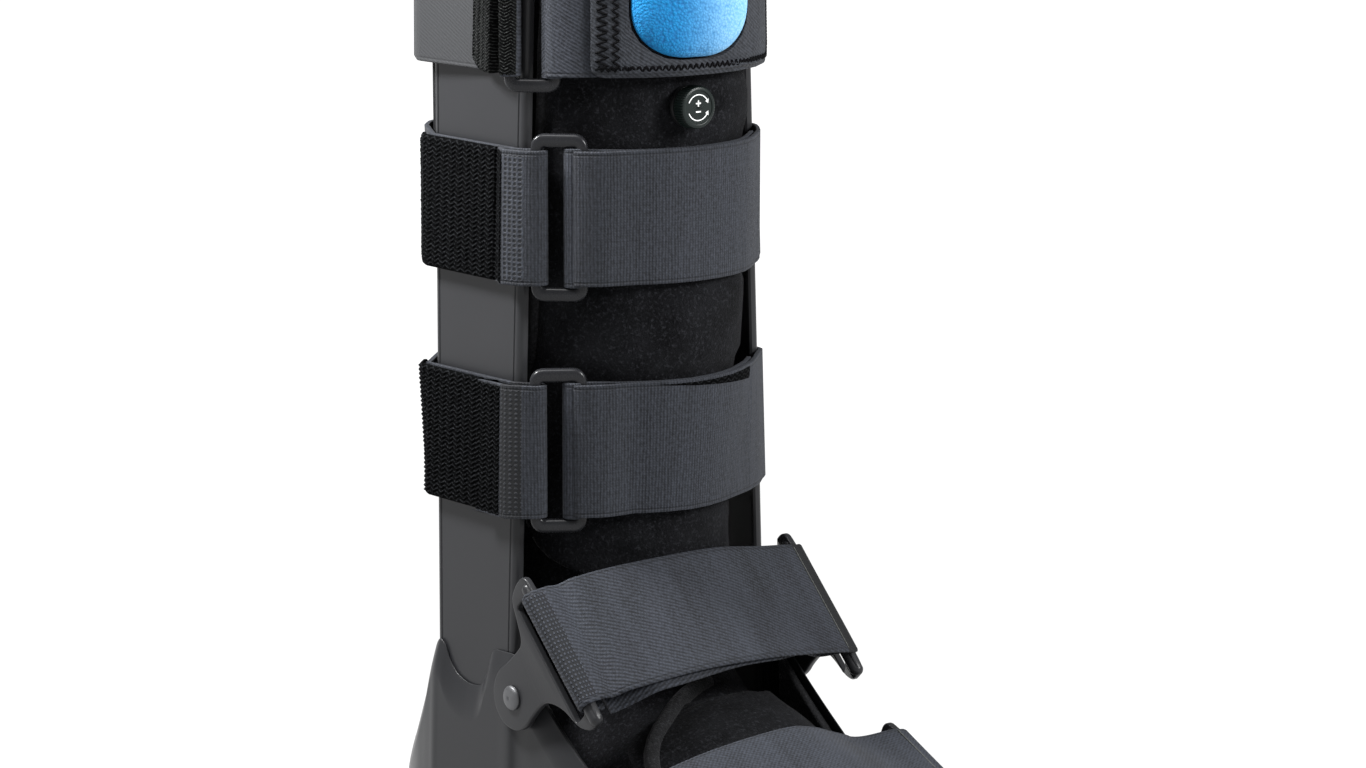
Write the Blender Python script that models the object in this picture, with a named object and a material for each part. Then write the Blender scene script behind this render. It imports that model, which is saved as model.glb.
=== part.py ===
"""Tall air walker boot with an open toe.

Metres, +Z up. The toe points along -Y and the wearer's right side is at -X. The origin is on the
ground below the axis of the leg, in the flat middle of the rocker sole.
"""

import math

import bpy
import bmesh
from mathutils import Matrix, Vector
from mathutils.geometry import tessellate_polygon

# Clearances
GAP = 0.0003
SOFT_GAP = 0.0008
FLAP_GAP = 0.0013
LAYER_GAP = 0.0006
PANEL_GAP = 0.0014

# Uprights: two flat plates that lean inwards
UPRIGHT_HALF_SPREAD = 0.0570
SPREAD_HEIGHT = 0.130
UPRIGHT_LEAN = math.radians(1.8)
UPRIGHT_THICKNESS = 0.0030
UPRIGHT_FRONT = 0.0260
UPRIGHT_REAR_LOW = 0.0200
UPRIGHT_REAR_HIGH = 0.0360
UPRIGHT_TOP = 0.418
UPRIGHT_CORNER = 0.0035
UPRIGHT_FLANGE = 0.0025
UPRIGHT_CROWN = 0.016

# Foot shell
SHELL_WALL = 0.0032
SHELL_FLOOR = 0.0032
SHELL_HEIGHT = 0.088
HEEL_REACH = 0.080
TOE_REACH = 0.208
SHELL_EDGE = 0.0030

# Outsole
SOLE_THICKNESS = 0.030
SOLE_LIP = 0.0015
TOE_SPRING = 0.010
TOE_ROCKER = 0.024
HEEL_ROCKER = 0.008
FLAT_FRONT = 0.075
FLAT_REAR = 0.045

# Liner
LINER_TOP = 0.430
LINER_WALL = 0.0070
LEG_FRONT = 0.0535
LEG_REAR = 0.0670
LEG_HALF_WIDTH = 0.0485
FOOT_HALF_WIDTH = 0.0530
FOOT_TOP = 0.0980
FOOT_LENGTH = 0.165
WIDEST = 0.60
FLAP_THICKNESS = 0.0040
FLAP_DROP = 0.006
FLAP_BOTTOM_ROW = 6.60
FOOT_FLAP_START_ROW = 10.1
FOOT_FLAP_END_ROW = 15.9
PAD_THICKNESS = 0.0040
PAD_LENGTH = 0.078
PAD_MARGIN = 0.004

# Webbing and rings
STRAP_WIDTH = 0.050
STRAP_THICKNESS = 0.0018
RING_WIDTH = 0.0210
RING_BAR = 0.0040
RING_CROSS_BAR = 0.0052
RING_EDGE = 0.0011
RING_CORNER = 0.0050
WRAP_CLEARANCE = 0.0005
RING_SLOT_PLAY = 0.0009
RING_INNER_CORNER = 0.0010
INNER_LAYER_END = 0.048
HOOK_THICKNESS = 0.0020
HOOK_GAP = 0.0012

# The strap course keeps corners at least this far apart, and divides runs longer than RUN_STEP
HULL_STEP = 0.0011
RUN_STEP = 0.0140

# Heights of the lower edges of the calf straps, and how far round from the front each ring lies
STRAP_LOW_Z = 0.1710
STRAP_MID_Z = 0.2580
STRAP_TOP_Z = 0.3350
RING_ARC_LOW = 0.0505
RING_ARC_MID = 0.0515
RING_ARC_TOP = 0.0605
FOLD_LOW = 0.0145
FOLD_MID = 0.0145
FOLD_TOP = 0.0030
HOOK_LOW = 0.0565
HOOK_MID = 0.0565
HOOK_TOP = 0.0300

# Pump panel and bulb on the front of the top strap
PANEL_HEIGHT = 0.072
PANEL_THICKNESS = 0.0030
PANEL_NEAR = 0.0390
PANEL_FAR = 0.0415
WINDOW_WIDTH = 0.0440
WINDOW_SHIFT = -0.0050
WINDOW_HEIGHT = 0.0500
WINDOW_CORNER = 0.0170
WINDOW_RISE = 0.0060
BULB_DOME = 0.0060

# Valve
VALVE_X = -0.0043
VALVE_Z = 0.3230
VALVE_BASE_RADIUS = 0.0094
VALVE_BASE_HEIGHT = 0.0016
DIAL_RADIUS = 0.0080
DIAL_HEIGHT = 0.0055
DIAL_FLUTES = 24
DIAL_FLUTE_DEPTH = 0.0005

# Strap brackets
BRACKET_THICKNESS = 0.0030
BRACKET_LOBE = 0.0125
BRACKET_HALF_LENGTH = 0.0300
BRACKET_SHIFT = 0.0035
BRACKET_ROD = 0.0050
BRACKET_SLOT = 0.0070
BRACKET_ROD_STUB = 0.0030
RIVET_HEAD = 0.0096
RIVET_HEIGHT = 0.0019
RIVET_SHANK = 0.0046
INSTEP_RIVET_Y = -0.0357
INSTEP_RIVET_Z = 0.1045
INSTEP_SLOPE = math.radians(45.0)
INSTEP_REACH = 0.0360
INSTEP_BULGE = 0.0090
INSTEP_FULLNESS = 2.2
INSTEP_PULL = 0.0095
INSTEP_SAG = 0.0010
FOOT_RIVET_Y = -0.1110
FOOT_RIVET_Z = 0.0479
FOOT_SLOPE = math.radians(25.0)
FOOT_REACH = 0.0280
FOOT_BULGE = 0.0125
FOOT_FULLNESS = 1.7
FOOT_SAG = 0.0027

SAG_START = 0.25
ROUND = 28
ROD_SIDES = 10
RIVET_SIDES = 12

# Foot shell outline from the heel to the toe along one side. along: positive shares of
# HEEL_REACH, negative shares of TOE_REACH; width: share of the half width at the ankle socket;
# wall: share of SHELL_HEIGHT; lean: how much of the uprights' lean the wall has there.
SHELL_ROWS = (
    # along, width, wall, lean
    (1.000, 0.000, 0.360, 0.0),
    (0.988, 0.216, 0.360, 0.0),
    (0.944, 0.432, 0.366, 0.1),
    (0.863, 0.610, 0.377, 0.2),
    (0.744, 0.756, 0.411, 0.4),
    (0.600, 0.864, 0.486, 0.6),
    (0.475, 0.931, 0.611, 0.8),
    (0.375, 0.966, 0.770, 0.9),
    (0.305, 0.986, 0.929, 1.0),
    (0.256, 1.000, 0.969, 1.0),
    (0.213, 1.000, 0.951, 1.0),
    (0.169, 1.000, 0.889, 1.0),
    (0.113, 1.000, 0.843, 1.0),
    (0.038, 1.000, 0.818, 1.0),
    (-0.015, 1.000, 0.815, 1.0),
    (-0.036, 1.000, 0.832, 1.0),
    (-0.050, 1.000, 0.884, 1.0),
    (-0.060, 1.000, 0.952, 1.0),
    (-0.072, 1.000, 0.993, 1.0),
    (-0.101, 1.000, 1.000, 1.0),
    (-0.135, 1.000, 1.000, 1.0),
    (-0.152, 0.978, 0.986, 1.0),
    (-0.192, 0.975, 0.872, 1.0),
    (-0.243, 0.969, 0.765, 1.0),
    (-0.293, 0.963, 0.672, 0.9),
    (-0.346, 0.954, 0.583, 0.8),
    (-0.413, 0.938, 0.483, 0.6),
    (-0.481, 0.920, 0.411, 0.4),
    (-0.534, 0.909, 0.349, 0.3),
    (-0.596, 0.898, 0.281, 0.2),
    (-0.663, 0.883, 0.219, 0.1),
    (-0.731, 0.852, 0.178, 0.0),
    (-0.798, 0.795, 0.156, 0.0),
    (-0.865, 0.695, 0.140, 0.0),
    (-0.923, 0.556, 0.128, 0.0),
    (-0.966, 0.370, 0.120, 0.0),
    (-0.993, 0.170, 0.114, 0.0),
    (-1.000, 0.000, 0.112, 0.0),
)

# Liner sections of the leg: height as a share of LINER_TOP, front of LEG_FRONT, rear of
# LEG_REAR, width of LEG_HALF_WIDTH; power is the squareness of the front half.
LEG_ROWS = (
    # height, front, rear, width, power
    (1.000, 0.990, 0.985, 0.925, 2.3),
    (0.884, 1.000, 1.015, 0.942, 2.3),
    (0.740, 1.000, 1.000, 0.995, 2.3),
    (0.616, 0.990, 0.940, 1.000, 2.2),
    (0.528, 0.970, 0.880, 0.985, 2.0),
    (0.442, 0.925, 0.806, 0.935, 2.0),
    (0.365, 0.870, 0.746, 0.866, 2.0),
)

# Liner sections of the bend and the foot, each through a front or top point and a rear or
# bottom point. front_y and rear_y: shares of FOOT_LENGTH forwards, rear_y of LEG_REAR where it
# is behind the leg axis; front_z and rear_z: shares of FOOT_TOP, None where it lies on the
# shell's floor; width: share of FOOT_HALF_WIDTH.
FOOT_ROWS = (
    # front_y, front_z, rear_y, rear_z, width, power
    (0.288, 1.367, 0.776, 1.204, 0.850, 2.0),
    (0.318, 1.194, 0.920, 0.870, 0.910, 2.0),
    (0.367, 1.075, 1.090, 0.590, 0.965, 2.1),
    (0.430, 1.000, 0.985, 0.388, 0.995, 2.2),
    (0.497, 0.964, 0.480, None, 1.000, 2.2),
    (0.558, 0.934, -0.120, None, 0.995, 2.2),
    (0.655, 0.855, -0.455, None, 0.970, 2.1),
    (0.764, 0.745, -0.697, None, 0.952, 1.9),
    (0.885, 0.674, -0.867, None, 0.924, 1.9),
    (1.000, 0.700, -1.000, None, 0.870, 1.9),
)

# Edges of each flap: liner row, and the angles from the front or top towards the near and the
# far side
LEG_FLAP_EDGE = (
    # row, near, far
    (0.0, 56.0, 54.0),
    (2.0, 58.0, 55.0),
    (4.0, 62.0, 60.0),
    (5.2, 68.0, 66.0),
    (6.0, 66.0, 68.0),
    (6.30, 54.0, 68.0),
    (6.60, 30.0, 68.0),
)
FOOT_FLAP_EDGE = (
    # row, near, far
    (10.1, 12.0, 62.0),
    (10.6, 30.0, 62.0),
    (11.2, 44.0, 62.0),
    (12.0, 52.0, 54.0),
    (13.0, 55.0, 43.0),
    (16.0, 50.0, 33.0),
)


def clear_scene():
    """Remove every object of the scene."""
    for old in list(bpy.data.objects):
        bpy.data.objects.remove(old, do_unlink=True)


def material(name, colour, roughness, metallic=0.0):
    """Return a Principled BSDF material."""
    mat = bpy.data.materials.new(name)
    mat.use_nodes = True
    shader = mat.node_tree.nodes["Principled BSDF"]
    shader.inputs["Base Color"].default_value = (*colour, 1.0)
    shader.inputs["Roughness"].default_value = roughness
    shader.inputs["Metallic"].default_value = metallic
    return mat


def solid(name, points, faces, mat, sharp=32.0):
    """Make a mesh object from points and faces, with its faces pointing outwards."""
    mesh = bpy.data.meshes.new(name)
    mesh.from_pydata([tuple(p) for p in points], [], faces)
    work = bmesh.new()
    work.from_mesh(mesh)
    bmesh.ops.recalc_face_normals(work, faces=work.faces)
    if work.calc_volume(signed=True) < 0.0:
        bmesh.ops.reverse_faces(work, faces=work.faces)
    work.to_mesh(mesh)
    work.free()
    mesh.shade_smooth()
    mesh.set_sharp_from_angle(angle=math.radians(sharp))
    mesh.materials.append(mat)
    obj = bpy.data.objects.new(name, mesh)
    bpy.context.collection.objects.link(obj)
    return obj


def bridge(first, second, count, closed=True):
    """Return quads between two rows of points that start at the given indices."""
    faces = []
    last = count if closed else count - 1
    for i in range(last):
        j = (i + 1) % count
        faces.append((first + i, first + j, second + j, second + i))
    return faces


def lerp(a, b, t):
    """Return the value a share t of the way from a to b."""
    return a + (b - a) * t


def table_value(rows, key, column):
    """Interpolate a column of a table whose first column rises."""
    if key <= rows[0][0]:
        return rows[0][column]
    for low, high in zip(rows, rows[1:]):
        if key <= high[0]:
            return lerp(low[column], high[column], (key - low[0]) / (high[0] - low[0]))
    return rows[-1][column]


def lean_at(z):
    """Return how far the uprights' planes have moved inwards at a height."""
    return math.tan(UPRIGHT_LEAN) * (z - SPREAD_HEIGHT)


def upright_outer(z):
    """Return the distance of an upright's outer face from the middle plane."""
    return UPRIGHT_HALF_SPREAD + UPRIGHT_THICKNESS - lean_at(z)


def sole_top(y):
    """Return the height of the outsole's top, which rises towards the toe."""
    ahead = max(0.0, -y - FLAT_FRONT) / (TOE_REACH - FLAT_FRONT)
    return SOLE_THICKNESS + TOE_SPRING * ahead * ahead


def sole_bottom(y):
    """Return the height of the rocker sole's underside."""
    ahead = max(0.0, -y - FLAT_FRONT) / (TOE_REACH - FLAT_FRONT)
    behind = max(0.0, y - FLAT_REAR) / (HEEL_REACH - FLAT_REAR)
    return TOE_ROCKER * min(ahead, 1.0) ** 1.8 + HEEL_ROCKER * min(behind, 1.0) ** 1.8


def shell_base(y):
    """Return the height of the foot shell's underside."""
    return sole_top(y) + GAP


def floor_top(y):
    """Return the height of the foot shell's floor."""
    return shell_base(y) + SHELL_FLOOR


def shell_reference():
    """Return the height at which the shell's outline is measured."""
    return shell_base(0.0) + 0.85 * SHELL_HEIGHT


def shell_stations():
    """Return (x, y, wall top, lean) along the near side of the shell, heel to toe."""
    socket = upright_outer(shell_reference()) + GAP + SHELL_WALL
    stations = []
    for along, width, wall, lean in SHELL_ROWS:
        y = along * (HEEL_REACH if along > 0.0 else TOE_REACH)
        stations.append((socket * width, y, shell_base(y) + wall * SHELL_HEIGHT, lean))
    return stations


def shell_loop(inset=0.0):
    """Return the shell's closed outline, heel first, down the near side and back up the far one."""
    near = shell_stations()
    loop = [(-x, y, top, lean) for x, y, top, lean in near]
    loop += [(x, y, top, lean) for x, y, top, lean in near[-2:0:-1]]
    count = len(loop)
    moved = []
    for i, (x, y, top, lean) in enumerate(loop):
        before = Vector(loop[i - 1][:2])
        after = Vector(loop[(i + 1) % count][:2])
        along = (after - before).normalized()
        outward = Vector((along.y, -along.x))
        if outward.dot(Vector((x, y + 0.03))) < 0.0:
            outward = -outward
        moved.append((x - outward.x * inset, y - outward.y * inset, top, lean))
    return moved


def leaned(x, lean, z):
    """Return a wall's x at a height, moved outwards below the reference height by its lean."""
    share = math.copysign(lean, x) if abs(x) > 1e-6 else 0.0
    return x + share * math.tan(UPRIGHT_LEAN) * (shell_reference() - z)


def wall_outer(y, z):
    """Return the shell's outer half width at a place along its side."""
    rows = sorted((s[1], s[0], s[3]) for s in shell_stations())
    return leaned(table_value(rows, y, 1), table_value(rows, y, 2), z)


def build_outsole(mat):
    """Make the rocker outsole from the shell's outline, flat in the middle of its underside."""
    loop = shell_loop(-SOLE_LIP)
    count = len(loop)
    points = []
    for inset, level in ((0.0, 1.0), (0.0, 0.35), (0.004, 0.0)):
        for (x, y, _top, lean), (bx, by, _t, _l) in zip(loop, shell_loop(inset - SOLE_LIP)):
            low = sole_bottom(y)
            z = lerp(low, sole_top(y), level)
            points.append((leaned(bx, lean, z), by, z if level > 0.0 else sole_bottom(by)))
    faces = bridge(0, count, count) + bridge(count, 2 * count, count)
    half = count // 2
    for start, flip in ((0, False), (2 * count, True)):
        for i in range(half):
            a, b = start + i, start + i + 1
            c, d = start + (count - i - 1) % count, start + (count - i) % count
            ring = [k for n, k in enumerate((a, b, c, d)) if k not in (a, b, c, d)[:n]]
            faces.append(tuple(reversed(ring)) if flip else tuple(ring))
    return solid("outsole", points, faces, mat)


def build_foot_shell(mat):
    """Make the open foot tray with its heel cup, ankle sockets and sloping side walls."""
    outer = shell_loop()
    count = len(outer)
    rows = [(shell_loop(SHELL_EDGE * 0.5), 0.0), (outer, SHELL_EDGE), (outer, None)]
    points = []
    for loop, rise in rows:
        for x, y, top, lean in loop:
            z = top if rise is None else shell_base(y) + rise
            points.append((leaned(x, lean, z), y, z))
    inner = shell_loop(SHELL_WALL)
    points += [(leaned(x, lean, top), y, top) for x, y, top, lean in inner]
    points += [(leaned(x, lean, floor_top(y)), y, floor_top(y)) for x, y, _top, lean in inner]
    faces = []
    for row in range(4):
        faces += bridge(row * count, (row + 1) * count, count)
    half = count // 2
    for start in (0, 4 * count):
        for i in range(half):
            quad = (start + i, start + i + 1, start + (count - i - 1) % count,
                    start + (count - i) % count)
            faces.append(tuple(k for n, k in enumerate(quad) if k not in quad[:n]))
    return solid("foot_shell", points, faces, mat)


def upright_section(z):
    """Return an upright's section at a height as (distance from the middle plane, y) points."""
    outer = upright_outer(z)
    share = (z - SPREAD_HEIGHT) / (UPRIGHT_TOP - SPREAD_HEIGHT)
    rear = lerp(UPRIGHT_REAR_LOW, UPRIGHT_REAR_HIGH, (share + 0.33) / 1.33)
    front = -UPRIGHT_FRONT
    crown = UPRIGHT_TOP - z
    if crown < UPRIGHT_CROWN:
        drop = UPRIGHT_CROWN - math.sqrt(max(0.0, UPRIGHT_CROWN ** 2
                                             - (UPRIGHT_CROWN - crown) ** 2))
        front += drop
        rear -= drop
    radius = UPRIGHT_CORNER
    inner = radius - UPRIGHT_THICKNESS
    tip = outer - UPRIGHT_THICKNESS - UPRIGHT_FLANGE
    shape = []
    for y, side in ((front, 1.0), (rear, -1.0)):
        turn = [math.radians(a) for a in (0.0, 30.0, 60.0, 90.0)]
        arc = [(outer - radius + radius * math.sin(t), y + side * (radius - radius * math.cos(t)))
               for t in turn]
        hollow = [(outer - radius + max(inner, 0.0003) * math.sin(t),
                   y + side * (radius - max(inner, 0.0003) * math.cos(t))) for t in turn]
        end = [(tip, y + side * 0.0007), (tip, y + side * (UPRIGHT_THICKNESS - 0.0007))]
        if side > 0.0:
            shape += list(reversed(hollow)) + [end[1], end[0]] + arc
        else:
            shape += list(reversed(arc)) + [end[0], end[1]] + hollow
    return shape


def build_upright(name, side, mat):
    """Make one upright: a plate with both edges turned inwards and a rounded top."""
    foot = floor_top(0.0) + GAP
    crown = UPRIGHT_TOP - UPRIGHT_CROWN
    levels = [foot, lerp(foot, crown, 0.5), crown]
    levels += [crown + UPRIGHT_CROWN * share for share in (0.35, 0.65, 0.87, 0.98)]
    points = []
    for z in levels:
        points += [(side * x, y, z) for x, y in upright_section(z)]
    count = len(upright_section(foot))
    faces = [tuple(range(count))]
    for row in range(len(levels) - 1):
        faces += bridge(row * count, (row + 1) * count, count)
    faces.append(tuple(reversed(range((len(levels) - 1) * count, len(levels) * count))))
    obj = solid(name, points, faces, mat)
    work = bmesh.new()
    work.from_mesh(obj.data)
    caps = [f for f in work.faces if len(f.verts) > 4]
    bmesh.ops.triangulate(work, faces=caps)
    work.to_mesh(obj.data)
    work.free()
    return obj


def liner_rows():
    """Return (front point, rear point, half width, power) of each liner section in the YZ plane."""
    rows = []
    for height, front, rear, width, power in LEG_ROWS:
        z = height * LINER_TOP
        rows.append((Vector((-front * LEG_FRONT, z)), Vector((rear * LEG_REAR, z)),
                     width * LEG_HALF_WIDTH, power))
    for front_y, front_z, rear_y, rear_z, width, power in FOOT_ROWS:
        back = rear_y * (LEG_REAR if rear_y > 0.0 else FOOT_LENGTH)
        low = floor_top(back) + GAP if rear_z is None else rear_z * FOOT_TOP
        rows.append((Vector((-front_y * FOOT_LENGTH, front_z * FOOT_TOP)), Vector((back, low)),
                     width * FOOT_HALF_WIDTH, power))
    return rows


def liner_section(row, inset=0.0):
    """Return the liner's points at a row or between two, in a circuit from the front or top."""
    low = min(int(row), len(liner_rows()) - 2)
    t = row - low
    first = row_section(low, inset)
    if t < 1e-9:
        return first
    return [a.lerp(b, t) for a, b in zip(first, row_section(low + 1, inset))]


def row_section(index, inset):
    """Return the points of one liner section, moved inwards by an inset."""
    front, rear, width, power = liner_rows()[index]
    width -= inset
    along = (rear - front).normalized()
    length = (rear - front).length
    middle = front + along * (WIDEST * length)
    ahead = WIDEST * length - inset
    behind = (1.0 - WIDEST) * length - inset
    points = []
    for i in range(ROUND):
        angle = 2.0 * math.pi * i / ROUND
        n = power if math.cos(angle) >= 0.0 else 2.8
        across = math.copysign(abs(math.sin(angle)) ** (2.0 / n), math.sin(angle)) * width
        reach = ahead if math.cos(angle) >= 0.0 else behind
        depth = -math.copysign(abs(math.cos(angle)) ** (2.0 / n), math.cos(angle)) * reach
        place = middle + along * depth
        points.append(Vector((across, place.x, place.y)))
    return points


def skin_point(row, degrees, offset):
    """Return a point at a distance outside the liner's skin, at an angle from the front."""
    share = degrees / 360.0 * ROUND
    i = math.floor(share)
    t = share - i
    section = liner_section(row)
    here = section[i % ROUND].lerp(section[(i + 1) % ROUND], t)
    step = 0.15
    above = liner_section(max(row - step, 0.0))
    below = liner_section(min(row + step, len(liner_rows()) - 1.0))
    a = above[i % ROUND].lerp(above[(i + 1) % ROUND], t)
    b = below[i % ROUND].lerp(below[(i + 1) % ROUND], t)
    before = section[(i - 1) % ROUND].lerp(section[i % ROUND], t)
    after = section[(i + 1) % ROUND].lerp(section[(i + 2) % ROUND], t)
    normal = (b - a).cross(after - before).normalized()
    centre = sum(section, Vector()) / ROUND
    if normal.dot(here - centre) < 0.0:
        normal = -normal
    return here + normal * offset


def build_liner(mat):
    """Make the padded liner: one hollow boot, open at the top and at the toe."""
    rows = len(liner_rows())
    points = []
    for row in range(rows):
        points += liner_section(float(row))
    for row in reversed(range(rows)):
        points += liner_section(float(row), LINER_WALL)
    count = 2 * rows
    faces = []
    for row in range(count):
        faces += bridge(row * ROUND, ((row + 1) % count) * ROUND, ROUND)
    return solid("liner", points, faces, mat, 50.0)


def build_flap(name, top_row, bottom_row, edge, columns, steps, mat, crowd_top=False):
    """Make a padded flap on the liner's skin, its rows crowded where its corner is rounded."""
    points = []
    for lift in (FLAP_GAP, FLAP_GAP + FLAP_THICKNESS):
        for r in range(steps + 1):
            share = (r / steps) ** 1.6 if crowd_top else 1.0 - (1.0 - r / steps) ** 1.6
            row = lerp(top_row, bottom_row, share)
            start = -table_value(edge, row, 1)
            for c in range(columns + 1):
                angle = lerp(start, table_value(edge, row, 2), c / columns)
                points.append(skin_point(row, angle, lift))
    wide = columns + 1
    sheet = (steps + 1) * wide
    faces = []
    for r in range(steps):
        for c in range(columns):
            a = r * wide + c
            quad = (a, a + 1, a + 1 + wide, a + wide)
            faces.append(quad)
            faces.append(tuple(k + sheet for k in reversed(quad)))
    rim = [c for c in range(wide)]
    rim += [r * wide + columns for r in range(1, steps + 1)]
    rim += [steps * wide + c for c in range(columns - 1, -1, -1)]
    rim += [r * wide for r in range(steps - 1, 0, -1)]
    for i, a in enumerate(rim):
        b = rim[(i + 1) % len(rim)]
        faces.append((a, a + sheet, b + sheet, b))
    return solid(name, points, faces, mat, 50.0)


def build_shell_pad(name, side, mat):
    """Make the pad inside one side wall of the shell, under the wall's sloping edge."""
    face = shell_loop(SHELL_WALL + GAP)
    back = shell_loop(SHELL_WALL + GAP + PAD_THICKNESS)
    start = -UPRIGHT_FRONT - 2.0 * UPRIGHT_THICKNESS
    keep = [i for i in range(len(face)) if face[i][0] * side > 0.0
            and start - PAD_LENGTH < face[i][1] < start]
    points = []
    for loop, high in ((face, True), (face, False), (back, False), (back, True)):
        for i in keep:
            x, y, top, lean = loop[i]
            z = top - PAD_MARGIN if high else floor_top(y) + PAD_MARGIN
            points.append((leaned(x, lean, z), y, z))
    count = len(keep)
    faces = []
    for row in range(4):
        faces += bridge(row * count, ((row + 1) % 4) * count, count, closed=False)
    faces.append((0, count, 2 * count, 3 * count))
    faces.append(tuple(count - 1 + count * k for k in (3, 2, 1, 0)))
    return solid(name, points, faces, mat)


def wrapped_points(z):
    """Return plan points of everything that a calf strap goes round at a height."""
    points = []
    rows = liner_rows()
    heights = [row[0].y for row in rows]
    for row in range(len(rows) - 1):
        if heights[row] >= z > heights[row + 1]:
            level = row + (heights[row] - z) / (heights[row] - heights[row + 1])
            break
    points += [Vector((p.x, p.y)) for p in liner_section(level)]
    start = -table_value(LEG_FLAP_EDGE, level, 1)
    for c in range(15):
        angle = lerp(start, table_value(LEG_FLAP_EDGE, level, 2), c / 14)
        points.append(skin_point(level, angle, FLAP_GAP + FLAP_THICKNESS).to_2d())
    for side in (-1.0, 1.0):
        points += [Vector((side * x, y)) for x, y in upright_section(z)]
    return points


def convex_hull(points):
    """Return the convex outline of plan points, anticlockwise seen from above."""
    order = sorted((round(p.x, 7), round(p.y, 7)) for p in points)
    chains = []
    for run in (order, list(reversed(order))):
        chain = []
        for p in run:
            while len(chain) > 1:
                ax, ay = chain[-1][0] - chain[-2][0], chain[-1][1] - chain[-2][1]
                bx, by = p[0] - chain[-2][0], p[1] - chain[-2][1]
                if ax * by - ay * bx > 1e-10:
                    break
                chain.pop()
            chain.append(p)
        chains += chain[:-1]
    return [Vector(p) for p in chains]


class StrapCourse:
    """The line that a calf strap follows round the leg, measured from the front middle."""

    def __init__(self, z):
        hull = convex_hull(wrapped_points(z))
        kept = [hull[0]]
        for p in hull[1:]:
            if (p - kept[-1]).length > HULL_STEP:
                kept.append(p)
        if (kept[0] - kept[-1]).length < HULL_STEP:
            kept.pop()
        self.corners = kept
        count = len(kept)
        self.mitres = []
        for i, p in enumerate(kept):
            a = (p - kept[i - 1]).normalized()
            b = (kept[(i + 1) % count] - p).normalized()
            na, nb = Vector((a.y, -a.x)), Vector((b.y, -b.x))
            middle = (na + nb).normalized()
            self.mitres.append(middle / max(middle.dot(na), 0.5))
        self.divide()
        kept, count = self.corners, len(self.corners)
        self.lengths = [(kept[(i + 1) % count] - kept[i]).length for i in range(count)]
        self.total = sum(self.lengths)
        self.start = 0.0
        run = 0.0
        for i, length in enumerate(self.lengths):
            a, b = kept[i], kept[(i + 1) % count]
            if a.y < 0.0 and b.y < 0.0 and a.x <= 0.0 < b.x:
                self.start = run + length * (-a.x) / (b.x - a.x)
            run += length

    def divide(self):
        """Divide the long straight runs, so that every layer bends at the same places."""
        corners, mitres = [], []
        count = len(self.corners)
        for i in range(count):
            j = (i + 1) % count
            parts = max(1, math.ceil((self.corners[j] - self.corners[i]).length / RUN_STEP))
            for k in range(parts):
                corners.append(self.corners[i].lerp(self.corners[j], k / parts))
                mitres.append(self.mitres[i].lerp(self.mitres[j], k / parts))
        self.corners, self.mitres = corners, mitres

    def place(self, s, distance):
        """Return the point a distance outside the course at length s, and its mitre vector."""
        s = (s + self.start) % self.total
        for i, length in enumerate(self.lengths):
            if s <= length:
                break
            s -= length
        j = (i + 1) % len(self.corners)
        t = min(1.0, s / length)
        mitre = self.mitres[i].lerp(self.mitres[j], t)
        return self.corners[i].lerp(self.corners[j], t) + mitre * distance, mitre

    def breaks(self, low, high):
        """Return the lengths of the corners between two lengths."""
        found = []
        run = -self.start
        for length in self.lengths:
            for turn in (-1, 0, 1, 2):
                s = run + turn * self.total
                if low + 0.0015 < s < high - 0.0015:
                    found.append(s)
            run += length
        return sorted(found)


def support(points, direction):
    """Return how far points reach in a direction."""
    return max(p.dot(direction) for p in points)


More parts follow.
